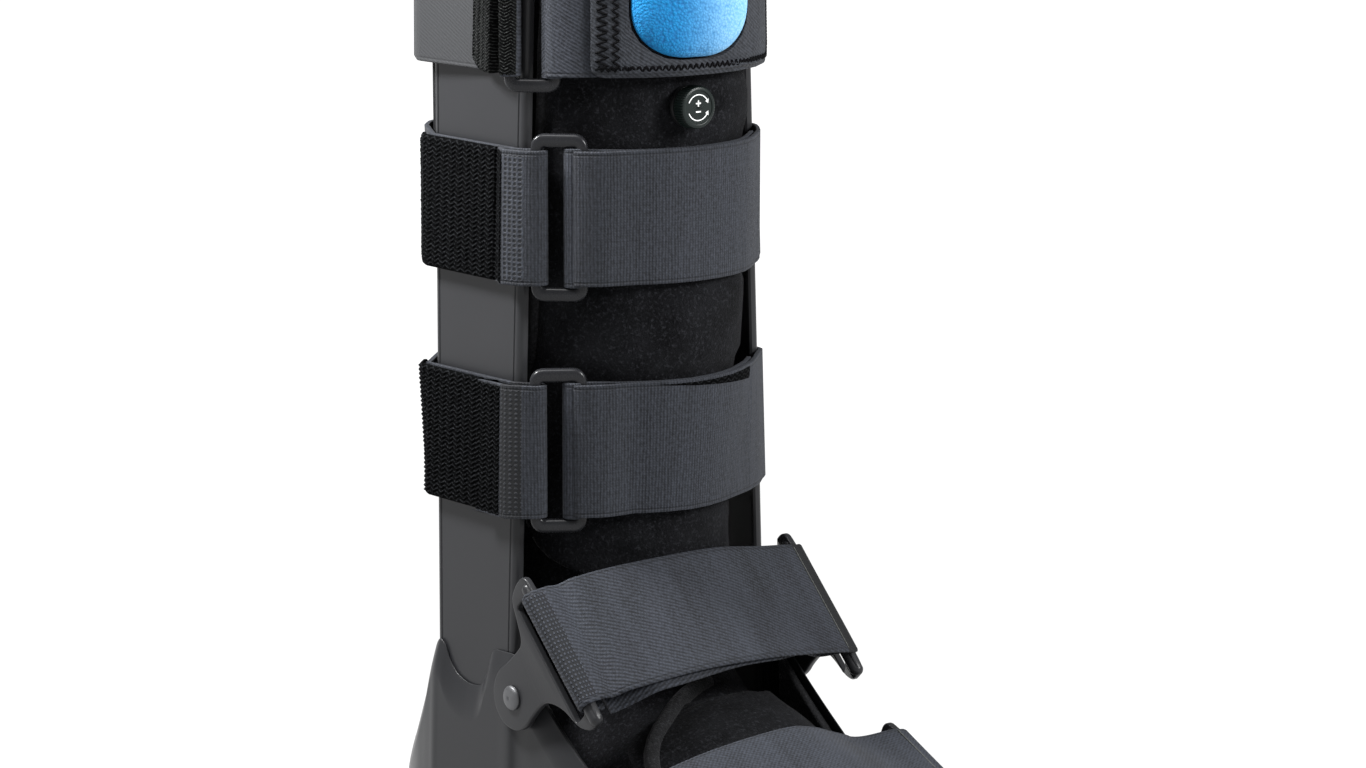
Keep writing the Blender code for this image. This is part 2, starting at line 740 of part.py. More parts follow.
class CalfStrap:
    """One calf strap with its ring and hook tab, round the leg at a height."""

    def __init__(self, low, ring_arc, fold, hook):
        self.low = low
        self.high = low + STRAP_WIDTH
        self.middle = low + 0.5 * STRAP_WIDTH
        self.course = StrapCourse(self.middle)
        self.below = wrapped_points(self.low)
        self.level = wrapped_points(self.middle)
        self.above = wrapped_points(self.high)
        self.fold = fold
        self.hook = hook
        self.inner = SOFT_GAP + 0.5 * STRAP_THICKNESS
        self.radius = 0.5 * RING_BAR + WRAP_CLEARANCE + 0.5 * STRAP_THICKNESS
        self.bar = self.inner + self.radius
        self.outer = self.inner + STRAP_THICKNESS + LAYER_GAP
        self.over = self.bar + self.radius
        half = 0.5 * (RING_WIDTH - RING_BAR)
        self.left = self.course.total - ring_arc - half
        self.right = -ring_arc + half
        a, _ = self.course.place(self.right - 0.0010, self.bar)
        b, _ = self.course.place(self.right, self.bar)
        self.along = (b - a).normalized()
        self.out = Vector((self.along.y, -self.along.x))
        self.centre = b - self.along * half
        self.bars = (self.centre - self.along * half, self.centre + self.along * half)

    def shift(self, direction, z):
        """Return how much the strap moves outwards between its middle and another height."""
        way = direction.normalized()
        target = self.below if z < self.middle else self.above
        share = abs(z - self.middle) / (0.5 * STRAP_WIDTH)
        return way * (share * (support(target, way) - support(self.level, way)))

    def follow(self, stops):
        """Return points with directions along the course through (length, distance) stops."""
        path = []
        for (s0, d0), (s1, d1) in zip(stops, stops[1:]):
            low, high = min(s0, s1), max(s0, s1)
            marks = [low] + self.course.breaks(low, high)
            marks += [low + (high - low) * k / 3 for k in (1, 2)] if abs(d1 - d0) > 1e-6 else []
            marks = sorted(marks)
            if s1 < s0:
                marks = [high] + sorted((m for m in marks if m > low), reverse=True)
            for m in marks:
                t = (m - s0) / (s1 - s0)
                ease = t * t * (3.0 - 2.0 * t)
                path.append(self.course.place(m, lerp(d0, d1, ease)))
        path.append(self.course.place(stops[-1][0], stops[-1][1]))
        kept = [path[0]]
        for p in path[1:]:
            if (p[0] - kept[-1][0]).length > 0.0012:
                kept.append(p)
        return kept

    def turn(self, centre, way):
        """Return the half circle round a ring bar, from the inner layer to the outer one."""
        points = []
        for k in range(1, 6):
            angle = math.pi * k / 6
            points.append((centre + (way * math.sin(angle) - self.out * math.cos(angle))
                           * self.radius, self.out))
        return points

    def path(self):
        """Return the strap's whole middle line with the direction that faces outwards."""
        merge = 0.014
        near = self.radius + 0.002
        first = self.follow([(INNER_LAYER_END, self.inner), (self.right, self.inner)])[:-1]
        first.append((self.bars[1] - self.out * self.radius, self.out))
        second = self.turn(self.bars[1], -self.along)
        third = [(self.bars[1] + self.out * self.radius, self.out)]
        third += self.follow([(self.right + near, self.over), (self.right + near + merge, self.outer),
                              (INNER_LAYER_END, self.outer),
                              (INNER_LAYER_END + 0.018, self.inner), (self.left, self.inner)])[:-1]
        third.append((self.bars[0] - self.out * self.radius, self.out))
        fourth = self.turn(self.bars[0], self.along)
        fifth = [(self.bars[0] + self.out * self.radius, self.out)]
        back = self.left - near
        end = self.left - self.fold
        if self.fold > near + 0.004:
            fifth += self.follow([(back, self.over), (end, self.outer)])
        else:
            fifth.append((self.bars[0] + self.out * self.radius - self.along * self.fold, self.out))
        return first + second + third + fourth + fifth

    def band(self, name, path, thickness, mat, low=None, high=None):
        """Make a band of a thickness that follows a path at both of its edges."""
        low = self.low if low is None else low
        high = self.high if high is None else high
        centres = [p for p, _d in path]
        count = len(centres)
        sides = ([], [])
        for i, p in enumerate(centres):
            a = (p - centres[i - 1]).normalized() if i else (centres[1] - p).normalized()
            b = (centres[i + 1] - p).normalized() if i + 1 < count else a
            na, nb = Vector((a.y, -a.x)), Vector((b.y, -b.x))
            middle = (na + nb).normalized()
            reach = 0.5 * thickness / max(middle.dot(na), 0.6)
            sides[0].append(p + middle * reach)
            sides[1].append(p - middle * reach)
        outline = sides[0] + list(reversed(sides[1]))
        ways = [d for _p, d in path] + [d for _p, d in reversed(path)]
        points = []
        for z in (low, high):
            for p, way in zip(outline, ways):
                q = p + self.shift(way, z)
                points.append((q.x, q.y, z))
        total = 2 * count
        faces = bridge(0, total, total)
        for base in (0, total):
            for i in range(count - 1):
                faces.append((base + i, base + i + 1, base + total - 2 - i, base + total - 1 - i))
        return solid(name, points, faces, mat, 40.0)

    def build(self, tag, strap_mat, hook_mat, ring_mat):
        """Make the strap, its hook tab and its ring."""
        self.band("calf_strap_" + tag, self.path(), STRAP_THICKNESS, strap_mat)
        start = self.left - self.fold - HOOK_GAP
        lift = self.outer + 0.5 * (HOOK_THICKNESS - STRAP_THICKNESS)
        stops = [(start, lift), (start - self.hook, lift)]
        if self.fold < 0.010:
            begin = self.over + 0.5 * (HOOK_THICKNESS - STRAP_THICKNESS)
            stops = [(start, begin), (start - 0.014, lift), (start - self.hook, lift)]
        self.band("calf_tab_" + tag, self.follow(stops), HOOK_THICKNESS, hook_mat)
        self.build_ring("calf_ring_" + tag, ring_mat)

    def build_ring(self, name, mat):
        """Make the rectangular ring whose two upright bars hold the strap."""
        tall = STRAP_WIDTH + 2.0 * (RING_CROSS_BAR + RING_SLOT_PLAY)
        rise = self.shift(self.out, self.high) - self.shift(self.out, self.low)
        up = Vector((rise.x, rise.y, STRAP_WIDTH)).normalized()
        right = self.along.to_3d()
        out = right.cross(up).normalized()
        if out.dot(self.out.to_3d()) < 0.0:
            out = -out
        sway = 0.5 * (self.shift(self.out, self.high) + self.shift(self.out, self.low))
        centre = (self.centre + sway).to_3d() + Vector((0.0, 0.0, self.middle))
        outer = rounded_rectangle(RING_WIDTH, tall, RING_CORNER, 3)
        inner = rounded_rectangle(RING_WIDTH - 2.0 * RING_BAR, tall - 2.0 * RING_CROSS_BAR,
                                  RING_INNER_CORNER, 3)
        count = len(outer)
        edge = RING_EDGE
        points = []
        for a, b in zip(inner, outer):
            wide = (b - a).length
            side = (b - a).normalized()
            half = 0.5 * RING_BAR
            for depth, height in ((0.0, half - edge), (edge, half), (wide - edge, half),
                                  (wide, half - edge), (wide, edge - half), (wide - edge, -half),
                                  (edge, -half), (0.0, edge - half)):
                p = a + side * depth
                points.append(centre + right * p.x + up * p.y + out * height)
        faces = []
        for i in range(count):
            j = (i + 1) % count
            for k in range(8):
                m = (k + 1) % 8
                faces.append((i * 8 + k, j * 8 + k, j * 8 + m, i * 8 + m))
        return solid(name, points, faces, mat, 30.0)


def rounded_rectangle(width, height, radius, steps, fill=0):
    """Return the points of a rounded rectangle, with some more points along each side."""
    corners = []
    for quarter, (sx, sy) in enumerate(((1, 1), (-1, 1), (-1, -1), (1, -1))):
        cx, cy = sx * (0.5 * width - radius), sy * (0.5 * height - radius)
        angles = [math.radians(90.0 * (quarter + k / steps)) for k in range(steps + 1)]
        corners.append([Vector((cx + radius * math.cos(a), cy + radius * math.sin(a)))
                        for a in angles])
    points = []
    for arc, after in zip(corners, corners[1:] + corners[:1]):
        points += arc
        points += [arc[-1].lerp(after[0], k / (fill + 1)) for k in range(1, fill + 1)]
    return points


def build_panel_and_bulb(strap, panel_mat, bulb_mat):
    """Make the padded panel on the front of the top strap and the pump bulb in its window."""
    course = strap.course
    back = strap.outer + 0.5 * STRAP_THICKNESS + PANEL_GAP

    def surface(s, z, distance):
        p, way = course.place(s, distance)
        q = p + strap.shift(way, min(z, strap.high))
        return Vector((q.x, q.y, z))

    def grow(outline, scale):
        return [p * scale for p in outline]

    def band_lift(s):
        near = strap.right + strap.radius + 0.016
        t = max(0.0, min(1.0, (near - s) / 0.012))
        return (strap.over - strap.outer) * t * t

    low = strap.low
    window_z = low + WINDOW_RISE + 0.5 * WINDOW_HEIGHT
    window = rounded_rectangle(WINDOW_WIDTH, WINDOW_HEIGHT, WINDOW_CORNER, 5, 5)
    rim = rounded_rectangle(1.0, 1.0, 0.06, 5, 5)
    width = PANEL_NEAR + PANEL_FAR
    edge = []
    for p in rim:
        s = lerp(-PANEL_NEAR, PANEL_FAR, p.x + 0.5)
        edge.append((s, low + PANEL_HEIGHT * (p.y + 0.5)))
    hole = [(WINDOW_SHIFT + p.x, window_z + p.y) for p in window]
    count = len(edge)
    points = []
    rings = 3
    for side in (0.0, PANEL_THICKNESS):
        for k in range(rings + 1):
            t = k / rings
            for (es, ez), (hs, hz) in zip(edge, hole):
                s, z = lerp(es, hs, t), lerp(ez, hz, t)
                thin = 0.55 if k == 0 and side > 0.0 else 1.0
                points.append(surface(s, z, back + band_lift(s) + side * thin))
    sheet = (rings + 1) * count
    faces = []
    for k in range(rings):
        faces += bridge(k * count, (k + 1) * count, count)
        faces += [tuple(reversed(f)) for f in
                  bridge(sheet + k * count, sheet + (k + 1) * count, count)]
    faces += [tuple(reversed(f)) for f in bridge(0, sheet, count)]
    faces += bridge(rings * count, sheet + rings * count, count)
    solid("pump_panel", points, faces, panel_mat, 40.0)

    points = []
    profile = ((0.20, 0.0), (0.60, 0.0), (1.0, 0.0), (1.0, 0.85), (0.94, 1.25), (0.78, 1.68),
               (0.35, 1.98))
    play = 1.0 - 2.0 * 0.0006 / WINDOW_WIDTH
    rows = []
    for scale, lift in profile:
        depth = PANEL_THICKNESS * min(lift, 1.0) + BULB_DOME * max(0.0, lift - 1.0)
        row = []
        for p in grow(window, scale * play):
            row.append(surface(WINDOW_SHIFT + p.x, window_z + p.y, back + depth))
        rows.append(row)
    for row in rows:
        points += row
    faces = []
    for k in range(len(rows) - 1):
        faces += bridge(k * count, (k + 1) * count, count)
    points.append(surface(WINDOW_SHIFT, window_z, back))
    points.append(surface(WINDOW_SHIFT, window_z, back + PANEL_THICKNESS + 1.02 * BULB_DOME))
    first, last = len(points) - 2, len(points) - 1
    top = (len(rows) - 1) * count
    for i in range(count):
        j = (i + 1) % count
        faces.append((first, j, i))
        faces.append((last, top + i, top + j))
    solid("pump_bulb", points, faces, bulb_mat, 60.0)


def disc(name, centre, radii, mat, sides=24, flute=0.0):
    """Make a turned piece about an axis along -Y from (radius, height) steps."""
    points = []
    total = sides * (2 if flute else 1)
    for radius, height in radii:
        for i in range(total):
            angle = 2.0 * math.pi * i / total
            r = radius - (flute if flute and i % 2 and radius > 0.9 * DIAL_RADIUS else 0.0)
            points.append((r * math.cos(angle), -height, r * math.sin(angle)))
    faces = [tuple(range(total)), tuple(reversed(range((len(radii) - 1) * total,
                                                       len(radii) * total)))]
    for k in range(len(radii) - 1):
        faces += bridge(k * total, (k + 1) * total, total)
    obj = solid(name, points, faces, mat, 25.0)
    obj.location = centre
    return obj


def build_valve(base_mat, dial_mat):
    """Make the valve base on the front flap and the dial that turns on it."""
    rows = liner_rows()
    level = next(r + (rows[r][0].y - VALVE_Z) / (rows[r][0].y - rows[r + 1][0].y)
                 for r in range(len(rows)) if rows[r][0].y >= VALVE_Z > rows[r + 1][0].y)
    front = skin_point(level, 0.0, FLAP_GAP + FLAP_THICKNESS).y - GAP
    height = VALVE_BASE_HEIGHT
    disc("valve_base", (VALVE_X, front, VALVE_Z),
         ((VALVE_BASE_RADIUS, 0.0), (VALVE_BASE_RADIUS, 0.6 * height),
          (0.88 * VALVE_BASE_RADIUS, height)), base_mat)
    disc("valve_dial", (VALVE_X, front - height - GAP, VALVE_Z),
         ((0.95 * DIAL_RADIUS, 0.0), (DIAL_RADIUS, 0.1 * DIAL_HEIGHT),
          (DIAL_RADIUS, 0.82 * DIAL_HEIGHT), (0.84 * DIAL_RADIUS, DIAL_HEIGHT)), dial_mat,
         DIAL_FLUTES, DIAL_FLUTE_DEPTH)


def extrude_plate(outline, holes, thickness):
    """Return points and faces of a flat plate with holes, centred on its middle plane."""
    loops = [outline] + holes
    flat = [p for loop in loops for p in loop]
    tris = tessellate_polygon([[Vector((p.x, p.y, 0.0)) for p in loop] for loop in loops])
    count = len(flat)
    points = [Vector((p.x, p.y, -0.5 * thickness)) for p in flat]
    points += [Vector((p.x, p.y, 0.5 * thickness)) for p in flat]
    faces = []
    for a, b, c in tris:
        faces.append((a, b, c))
        faces.append((a + count, c + count, b + count))
    start = 0
    for loop in loops:
        faces += [tuple(k for k in f) for f in
                  bridge(start, start + count, len(loop))]
        start += len(loop)
    return points, faces


class Bracket:
    """A riveted plate with a slot for a strap, along the shell's side.

    The strap pulls the left plate's slot end inwards, so the plate is bent beyond its neck.
    """

    def __init__(self, rivet_y, rivet_z, slope, reach, pull=0.0):
        self.rivet = Vector((rivet_y, rivet_z))
        self.down = Vector((-math.cos(slope), -math.sin(slope)))
        self.out = Vector((-math.sin(slope), math.cos(slope)))
        self.reach = reach
        self.pull = pull
        self.neck = 1.12 * BRACKET_LOBE
        lobe = BRACKET_LOBE
        wall = max(wall_outer(rivet_y + dy, rivet_z + dz) for dy in (-lobe, 0.0, lobe)
                   for dz in (-lobe, 0.0, lobe))
        self.plane = wall + GAP + 0.5 * BRACKET_THICKNESS

    def outline(self):
        """Return the plate's edge in (down, out) lengths from the rivet."""
        lobe, half, shift = BRACKET_LOBE, BRACKET_HALF_LENGTH, BRACKET_SHIFT
        end = 0.5 * BRACKET_ROD
        shoulder = self.reach - BRACKET_ROD - BRACKET_SLOT - 0.5 * end
        arc = [Vector((lobe * math.cos(math.radians(a)), lobe * math.sin(math.radians(a))))
               for a in range(-200, 21, 20)]
        low = shift + half
        high = shift - half
        right = [Vector((0.96 * lobe, 0.5 * shoulder + 0.2 * lobe)),
                 Vector((1.16 * lobe, 0.80 * shoulder)),
                 Vector((0.62 * low, shoulder + 0.08 * BRACKET_SLOT)),
                 Vector((0.86 * low, shoulder + 0.42 * BRACKET_SLOT)),
                 Vector((low - 0.4 * end, self.reach - 0.45 * BRACKET_SLOT - BRACKET_ROD)),
                 Vector((low + end, self.reach - 0.55 * BRACKET_ROD)),
                 Vector((low + 0.6 * end, self.reach + 0.3 * BRACKET_ROD)),
                 Vector((low - end, self.reach + 0.5 * BRACKET_ROD))]
        left = [Vector((high + end, self.reach + 0.5 * BRACKET_ROD)),
                Vector((high - 0.6 * end, self.reach + 0.3 * BRACKET_ROD)),
                Vector((high - end, self.reach - 0.55 * BRACKET_ROD)),
                Vector((high - 0.2 * end, self.reach - 0.75 * BRACKET_SLOT - BRACKET_ROD)),
                Vector((0.74 * high, shoulder + 0.05 * BRACKET_SLOT)),
                Vector((0.42 * high, 0.86 * shoulder)),
                Vector((-0.86 * lobe, 0.50 * shoulder + 0.20 * lobe))]
        return arc + right + left

    def slot(self):
        """Return the slot's edge: a long opening behind the rod."""
        half = 0.5 * STRAP_WIDTH + 0.001
        near, far = self.reach - 0.5 * BRACKET_ROD - BRACKET_SLOT, self.reach - 0.5 * BRACKET_ROD
        shift = BRACKET_SHIFT
        return [Vector((shift - half, near + 0.0012)), Vector((shift - half + 0.0012, near)),
                Vector((shift + half - 0.0012, near)), Vector((shift + half, near + 0.0012)),
                Vector((shift + half, far)), Vector((shift - half, far))]

    def hole(self):
        """Return the rivet's hole."""
        radius = 0.5 * RIVET_SHANK + GAP
        return [Vector((radius * math.cos(a), radius * math.sin(a)))
                for a in (2.0 * math.pi * k / 12 for k in range(12))]

    def place(self, side, down, out, across=0.0):
        """Return the world point of a place on the plate."""
        flat = self.rivet + self.down * down + self.out * out
        rod_edge = self.reach - 0.5 * BRACKET_ROD
        bent = max(0.0, min(out, rod_edge) - self.neck) / (rod_edge - self.neck)
        pull = self.pull * bent if side > 0.0 else 0.0
        return Vector((side * (self.plane + across) - pull, flat.x, flat.y))

    def build(self, tag, side, mat, rivet_mat):
        """Make the plate with its rod, and the rivet through its lobe."""
        points, faces = extrude_plate(self.outline(), [self.slot(), self.hole()],
                                      BRACKET_THICKNESS)
        where = "right" if side < 0.0 else "left"
        name = tag + "_bracket_" + where
        plate = solid(name, points, faces, mat, 30.0)
        self.bend(plate, side)
        rod_points = []
        low = BRACKET_SHIFT - BRACKET_HALF_LENGTH
        high = BRACKET_SHIFT + BRACKET_HALF_LENGTH + BRACKET_ROD_STUB
        for end, scale in ((low, 0.7), (low + 0.0008, 1.0), (high - 0.0008, 1.0), (high, 0.7)):
            for k in range(ROD_SIDES):
                angle = 2.0 * math.pi * (k + 0.5) / ROD_SIDES
                radius = 0.5 * BRACKET_ROD * scale
                rod_points.append(self.place(side, end, self.reach + radius * math.cos(angle),
                                             radius * math.sin(angle)))
        rod_faces = [tuple(range(ROD_SIDES)), tuple(reversed(range(3 * ROD_SIDES, 4 * ROD_SIDES)))]
        for k in range(3):
            rod_faces += bridge(k * ROD_SIDES, (k + 1) * ROD_SIDES, ROD_SIDES)
        rod = solid(name + "_rod", rod_points, rod_faces, mat)
        rod.hide_render = True
        rod.display_type = "WIRE"
        join = plate.modifiers.new("rod", "BOOLEAN")
        join.operation = "UNION"
        join.object = rod
        self.build_rivet(tag + "_rivet_" + where, side, rivet_mat)

    def bend(self, plate, side):
        """Move a flat plate to its place, cut across at the neck so that it can bend there."""
        work = bmesh.new()
        work.from_mesh(plate.data)
        if self.pull > 0.0:
            everything = list(work.verts) + list(work.edges) + list(work.faces)
            bmesh.ops.bisect_plane(work, geom=everything, dist=1e-6,
                                   plane_co=(0.0, self.neck, 0.0), plane_no=(0.0, 1.0, 0.0))
            bmesh.ops.triangulate(work, faces=[f for f in work.faces if len(f.verts) > 4])
        for vert in work.verts:
            vert.co = self.place(side, vert.co.x, vert.co.y, vert.co.z)
        bmesh.ops.recalc_face_normals(work, faces=work.faces)
        work.to_mesh(plate.data)
        work.free()

    def build_rivet(self, name, side, mat):
        """Make the rivet: a domed head outside the plate and a shank in its hole."""
        half = 0.5 * BRACKET_THICKNESS
        shank, head = 0.5 * RIVET_SHANK, 0.5 * RIVET_HEAD
        rings = ((shank, -half), (shank, half + GAP), (head, half + GAP),
                 (head, half + GAP + 0.35 * RIVET_HEIGHT),
                 (0.8 * head, half + GAP + 0.8 * RIVET_HEIGHT),
                 (0.35 * head, half + GAP + RIVET_HEIGHT))
        sides = RIVET_SIDES
        points = []
        for radius, across in rings:
            for k in range(sides):
                angle = 2.0 * math.pi * k / sides
                points.append(self.place(side, radius * math.cos(angle), radius * math.sin(angle),
                                         across))
        faces = [tuple(range(sides)), tuple(reversed(range(5 * sides, 6 * sides)))]
        for k in range(5):
            faces += bridge(k * sides, (k + 1) * sides, sides)
        solid(name, points, faces, mat, 30.0)


def build_cross_strap(name, bracket, bulge, fullness, sag, mat):
    """Make a strap that spans two brackets, folded round both rods, with a layer inside.

    It sags by a length between SAG_START of the left half and the left rod.
    """
    shift = -0.5 * bracket.pull
    rod = bracket.plane + shift
    radius = 0.5 * BRACKET_ROD + 2.0 * WRAP_CLEARANCE + 0.5 * STRAP_THICKNESS
    half = 0.5 * STRAP_THICKNESS
    settle = STRAP_THICKNESS + LAYER_GAP
    clear = rod - BRACKET_THICKNESS - 2.0 * STRAP_THICKNESS

    def arch(x):
        share = min(1.0, abs(x) / rod)
        dip = max(0.0, min(1.0, (x / rod - SAG_START) / (1.0 - SAG_START)))
        return bulge * (1.0 - share ** fullness) - sag * math.sin(math.pi * dip) ** 2

    def inside(x):
        t = max(0.0, min(1.0, (clear - abs(x)) / (0.36 * rod)))
        return lerp(-radius, radius + arch(x) - settle, t * t * (3.0 - 2.0 * t))

    path = []
    near_tail = clear - 0.12 * rod
    far_tail = -(near_tail - 0.10 * rod)
    path += [Vector((-near_tail, inside(near_tail))), Vector((-clear, -radius))]
    for k in range(7):
        angle = math.pi * k / 6
        path.append(Vector((-rod - radius * math.sin(angle), -radius * math.cos(angle))))
    steps = 18
    for k in range(1, steps):
        x = lerp(-rod, rod, k / steps)
        path.append(Vector((x, radius + arch(x))))
    for k in range(7):
        angle = math.pi * k / 6
        path.append(Vector((rod + radius * math.sin(angle), radius * math.cos(angle))))
    for k in range(steps - 2):
        x = lerp(clear, far_tail, k / (steps - 3))
        path.append(Vector((x, inside(x))))
    sides = ([], [])
    count = len(path)
    for i, p in enumerate(path):
        a = (p - path[i - 1]).normalized() if i else (path[1] - p).normalized()
        b = (path[i + 1] - p).normalized() if i + 1 < count else a
        na, nb = Vector((a.y, -a.x)), Vector((b.y, -b.x))
        middle = (na + nb).normalized()
        reach = half / max(middle.dot(na), 0.6)
        sides[0].append(p + middle * reach)
        sides[1].append(p - middle * reach)
    outline = sides[0] + list(reversed(sides[1]))
    total = len(outline)
    points = []
    for down in (BRACKET_SHIFT - 0.5 * STRAP_WIDTH, BRACKET_SHIFT + 0.5 * STRAP_WIDTH):
        for p in outline:
            flat = bracket.rivet + bracket.down * down + bracket.out * (bracket.reach + p.y)
            points.append((p.x + shift, flat.x, flat.y))
    faces = bridge(0, total, total)
    for base in (0, total):
        for i in range(count - 1):
            faces.append((base + i, base + i + 1, base + total - 2 - i, base + total - 1 - i))
    return solid(name, points, faces, mat, 40.0)


def main():
    """Build the boot."""
    clear_scene()
    shell = material("shell_plastic", (0.060, 0.061, 0.064), 0.42)
    rubber = material("sole_rubber", (0.025, 0.025, 0.027), 0.75)
    lining = material("liner_pile", (0.012, 0.012, 0.013), 0.95)
    webbing = material("webbing", (0.045, 0.050, 0.062), 0.85)
    hook = material("hook_tape", (0.012, 0.012, 0.014), 0.9)
    ring = material("ring_plastic", (0.035, 0.036, 0.040), 0.4)
    rivet = material("rivet_metal", (0.10, 0.10, 0.11), 0.35, 0.8)
    fabric = material("panel_fabric", (0.035, 0.038, 0.045), 0.85)
    blue = material("pump_blue", (0.035, 0.28, 0.66), 0.8)
    dial = material("dial_plastic", (0.012, 0.020, 0.018), 0.4)

    build_outsole(rubber)
    build_foot_shell(shell)
    build_upright("upright_right", -1.0, shell)
    build_upright("upright_left", 1.0, shell)
    build_liner(lining)
    build_flap("liner_front_flap", FLAP_DROP / LINER_TOP * 8.0, FLAP_BOTTOM_ROW, LEG_FLAP_EDGE, 10,
               15, lining)
    build_flap("liner_foot_flap", FOOT_FLAP_START_ROW, FOOT_FLAP_END_ROW, FOOT_FLAP_EDGE, 10, 9,
               lining, crowd_top=True)
    build_shell_pad("shell_pad_right", -1.0, lining)
    build_shell_pad("shell_pad_left", 1.0, lining)
    top = CalfStrap(STRAP_TOP_Z, RING_ARC_TOP, FOLD_TOP, HOOK_TOP)
    top.build("top", webbing, hook, ring)
    CalfStrap(STRAP_MID_Z, RING_ARC_MID, FOLD_MID, HOOK_MID).build("mid", webbing, hook, ring)
    CalfStrap(STRAP_LOW_Z, RING_ARC_LOW, FOLD_LOW, HOOK_LOW).build("low", webbing, hook, ring)
    build_panel_and_bulb(top, fabric, blue)
    build_valve(dial, dial)
    instep = Bracket(INSTEP_RIVET_Y, INSTEP_RIVET_Z, INSTEP_SLOPE, INSTEP_REACH, INSTEP_PULL)
    foot = Bracket(FOOT_RIVET_Y, FOOT_RIVET_Z, FOOT_SLOPE, FOOT_REACH)
    for side in (-1.0, 1.0):
        instep.build("instep", side, shell, rivet)
        foot.build("foot", side, shell, rivet)
    build_cross_strap("instep_strap", instep, INSTEP_BULGE, INSTEP_FULLNESS, INSTEP_SAG, webbing)
    build_cross_strap("foot_strap", foot, FOOT_BULGE, FOOT_FULLNESS, FOOT_SAG, webbing)


main()
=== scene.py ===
"""Dressed scene of a tall air walker boot: moulded shell, padded liner, webbing, pump and valve.

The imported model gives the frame. Lengths are metres, +Z is up, the toe points along -Y and the
wearer's right side is at -X.
"""

import logging
import math
from collections.abc import Callable
from dataclasses import dataclass, field, replace
from enum import Enum
from functools import cache

import bmesh
import bpy
import numpy as np
from mathutils import Matrix, Vector


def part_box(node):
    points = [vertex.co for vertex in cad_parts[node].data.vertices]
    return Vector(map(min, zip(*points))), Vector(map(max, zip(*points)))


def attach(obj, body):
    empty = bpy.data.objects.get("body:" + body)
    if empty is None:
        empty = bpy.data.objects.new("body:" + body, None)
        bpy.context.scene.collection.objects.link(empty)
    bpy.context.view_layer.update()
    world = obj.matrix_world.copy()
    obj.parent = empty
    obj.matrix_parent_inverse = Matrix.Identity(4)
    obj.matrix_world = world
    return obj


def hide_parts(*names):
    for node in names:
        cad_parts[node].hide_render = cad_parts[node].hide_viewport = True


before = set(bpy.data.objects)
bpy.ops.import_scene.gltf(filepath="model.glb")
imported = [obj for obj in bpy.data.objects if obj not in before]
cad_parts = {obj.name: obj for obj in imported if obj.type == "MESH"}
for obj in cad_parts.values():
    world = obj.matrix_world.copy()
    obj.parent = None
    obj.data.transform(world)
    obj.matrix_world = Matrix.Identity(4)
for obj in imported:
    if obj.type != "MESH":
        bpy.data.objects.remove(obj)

Array = np.ndarray
Colour = tuple[float, float, float]
Material = bpy.types.Material
Pair = tuple[float, float]
Piece = bpy.types.Object

LOG = logging.getLogger("boot")
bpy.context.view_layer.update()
MM = 0.001
TURN = 2.0 * math.pi
QUARTER = math.pi / 2.0
SIDES = (("right", -1.0), ("left", 1.0))
# A stretch of cloth that lies past every cloth's end
NOWHERE = (9.0, 9.0)
# The number of the corner after each corner of a triangle
AFTER = np.array([1, 2, 0])


# Shader expressions


def by_math(operation: str, swapped: bool = False) -> Callable[..., "Val"]:
    """Return a method that adds one Math node, with its two values swapped where wanted.

    Args:
        operation: The Math node's operation.
        swapped: Whether the method's own value is the second one.

    Returns:
        The method.
    """

    def method(self: "Val", *others: "Val | float") -> "Val":
        """Return the node's result."""
        return self.shade.math(operation, *((*others, self) if swapped else (self, *others)))

    return method


class Val:
    """A shader socket that adds Math nodes when it is used in an expression."""

    def __init__(self, shade: "Shade", socket: bpy.types.NodeSocket) -> None:
        """Keep the socket and the material that it belongs to."""
        self.shade = shade
        self.socket = socket

    __add__ = __radd__ = by_math("ADD")
    __sub__ = by_math("SUBTRACT")
    __rsub__ = by_math("SUBTRACT", swapped=True)
    __mul__ = __rmul__ = by_math("MULTIPLY")
    __truediv__ = by_math("DIVIDE")
    __pow__ = by_math("POWER")
    __abs__ = by_math("ABSOLUTE")
    sine = by_math("SINE")
    fraction = by_math("FRACT")
    above = by_math("GREATER_THAN")

    def between(self, low: float, high: float) -> "Val":
        """Return 1 above the low limit and up to the high one."""
        return self.above(low) * (1.0 - self.above(high))

    def wave(self) -> "Val":
        """Return 0.5 + 0.5 sin(2 pi value)."""
        return (self * TURN).sine() * 0.5 + 0.5

    def rise(self, low: float, high: float) -> "Val":
        """Return a smooth step from 0 at low to 1 at high."""
        return self.shade.node("MapRange", {0: self, 1: low, 2: high, 3: 0.0, 4: 1.0},
                               interpolation_type="SMOOTHSTEP")


def put(target: object, **settings: object) -> None:
    """Set attributes of a Blender thing by name."""
    for key, value in settings.items():
        setattr(target, key, value)


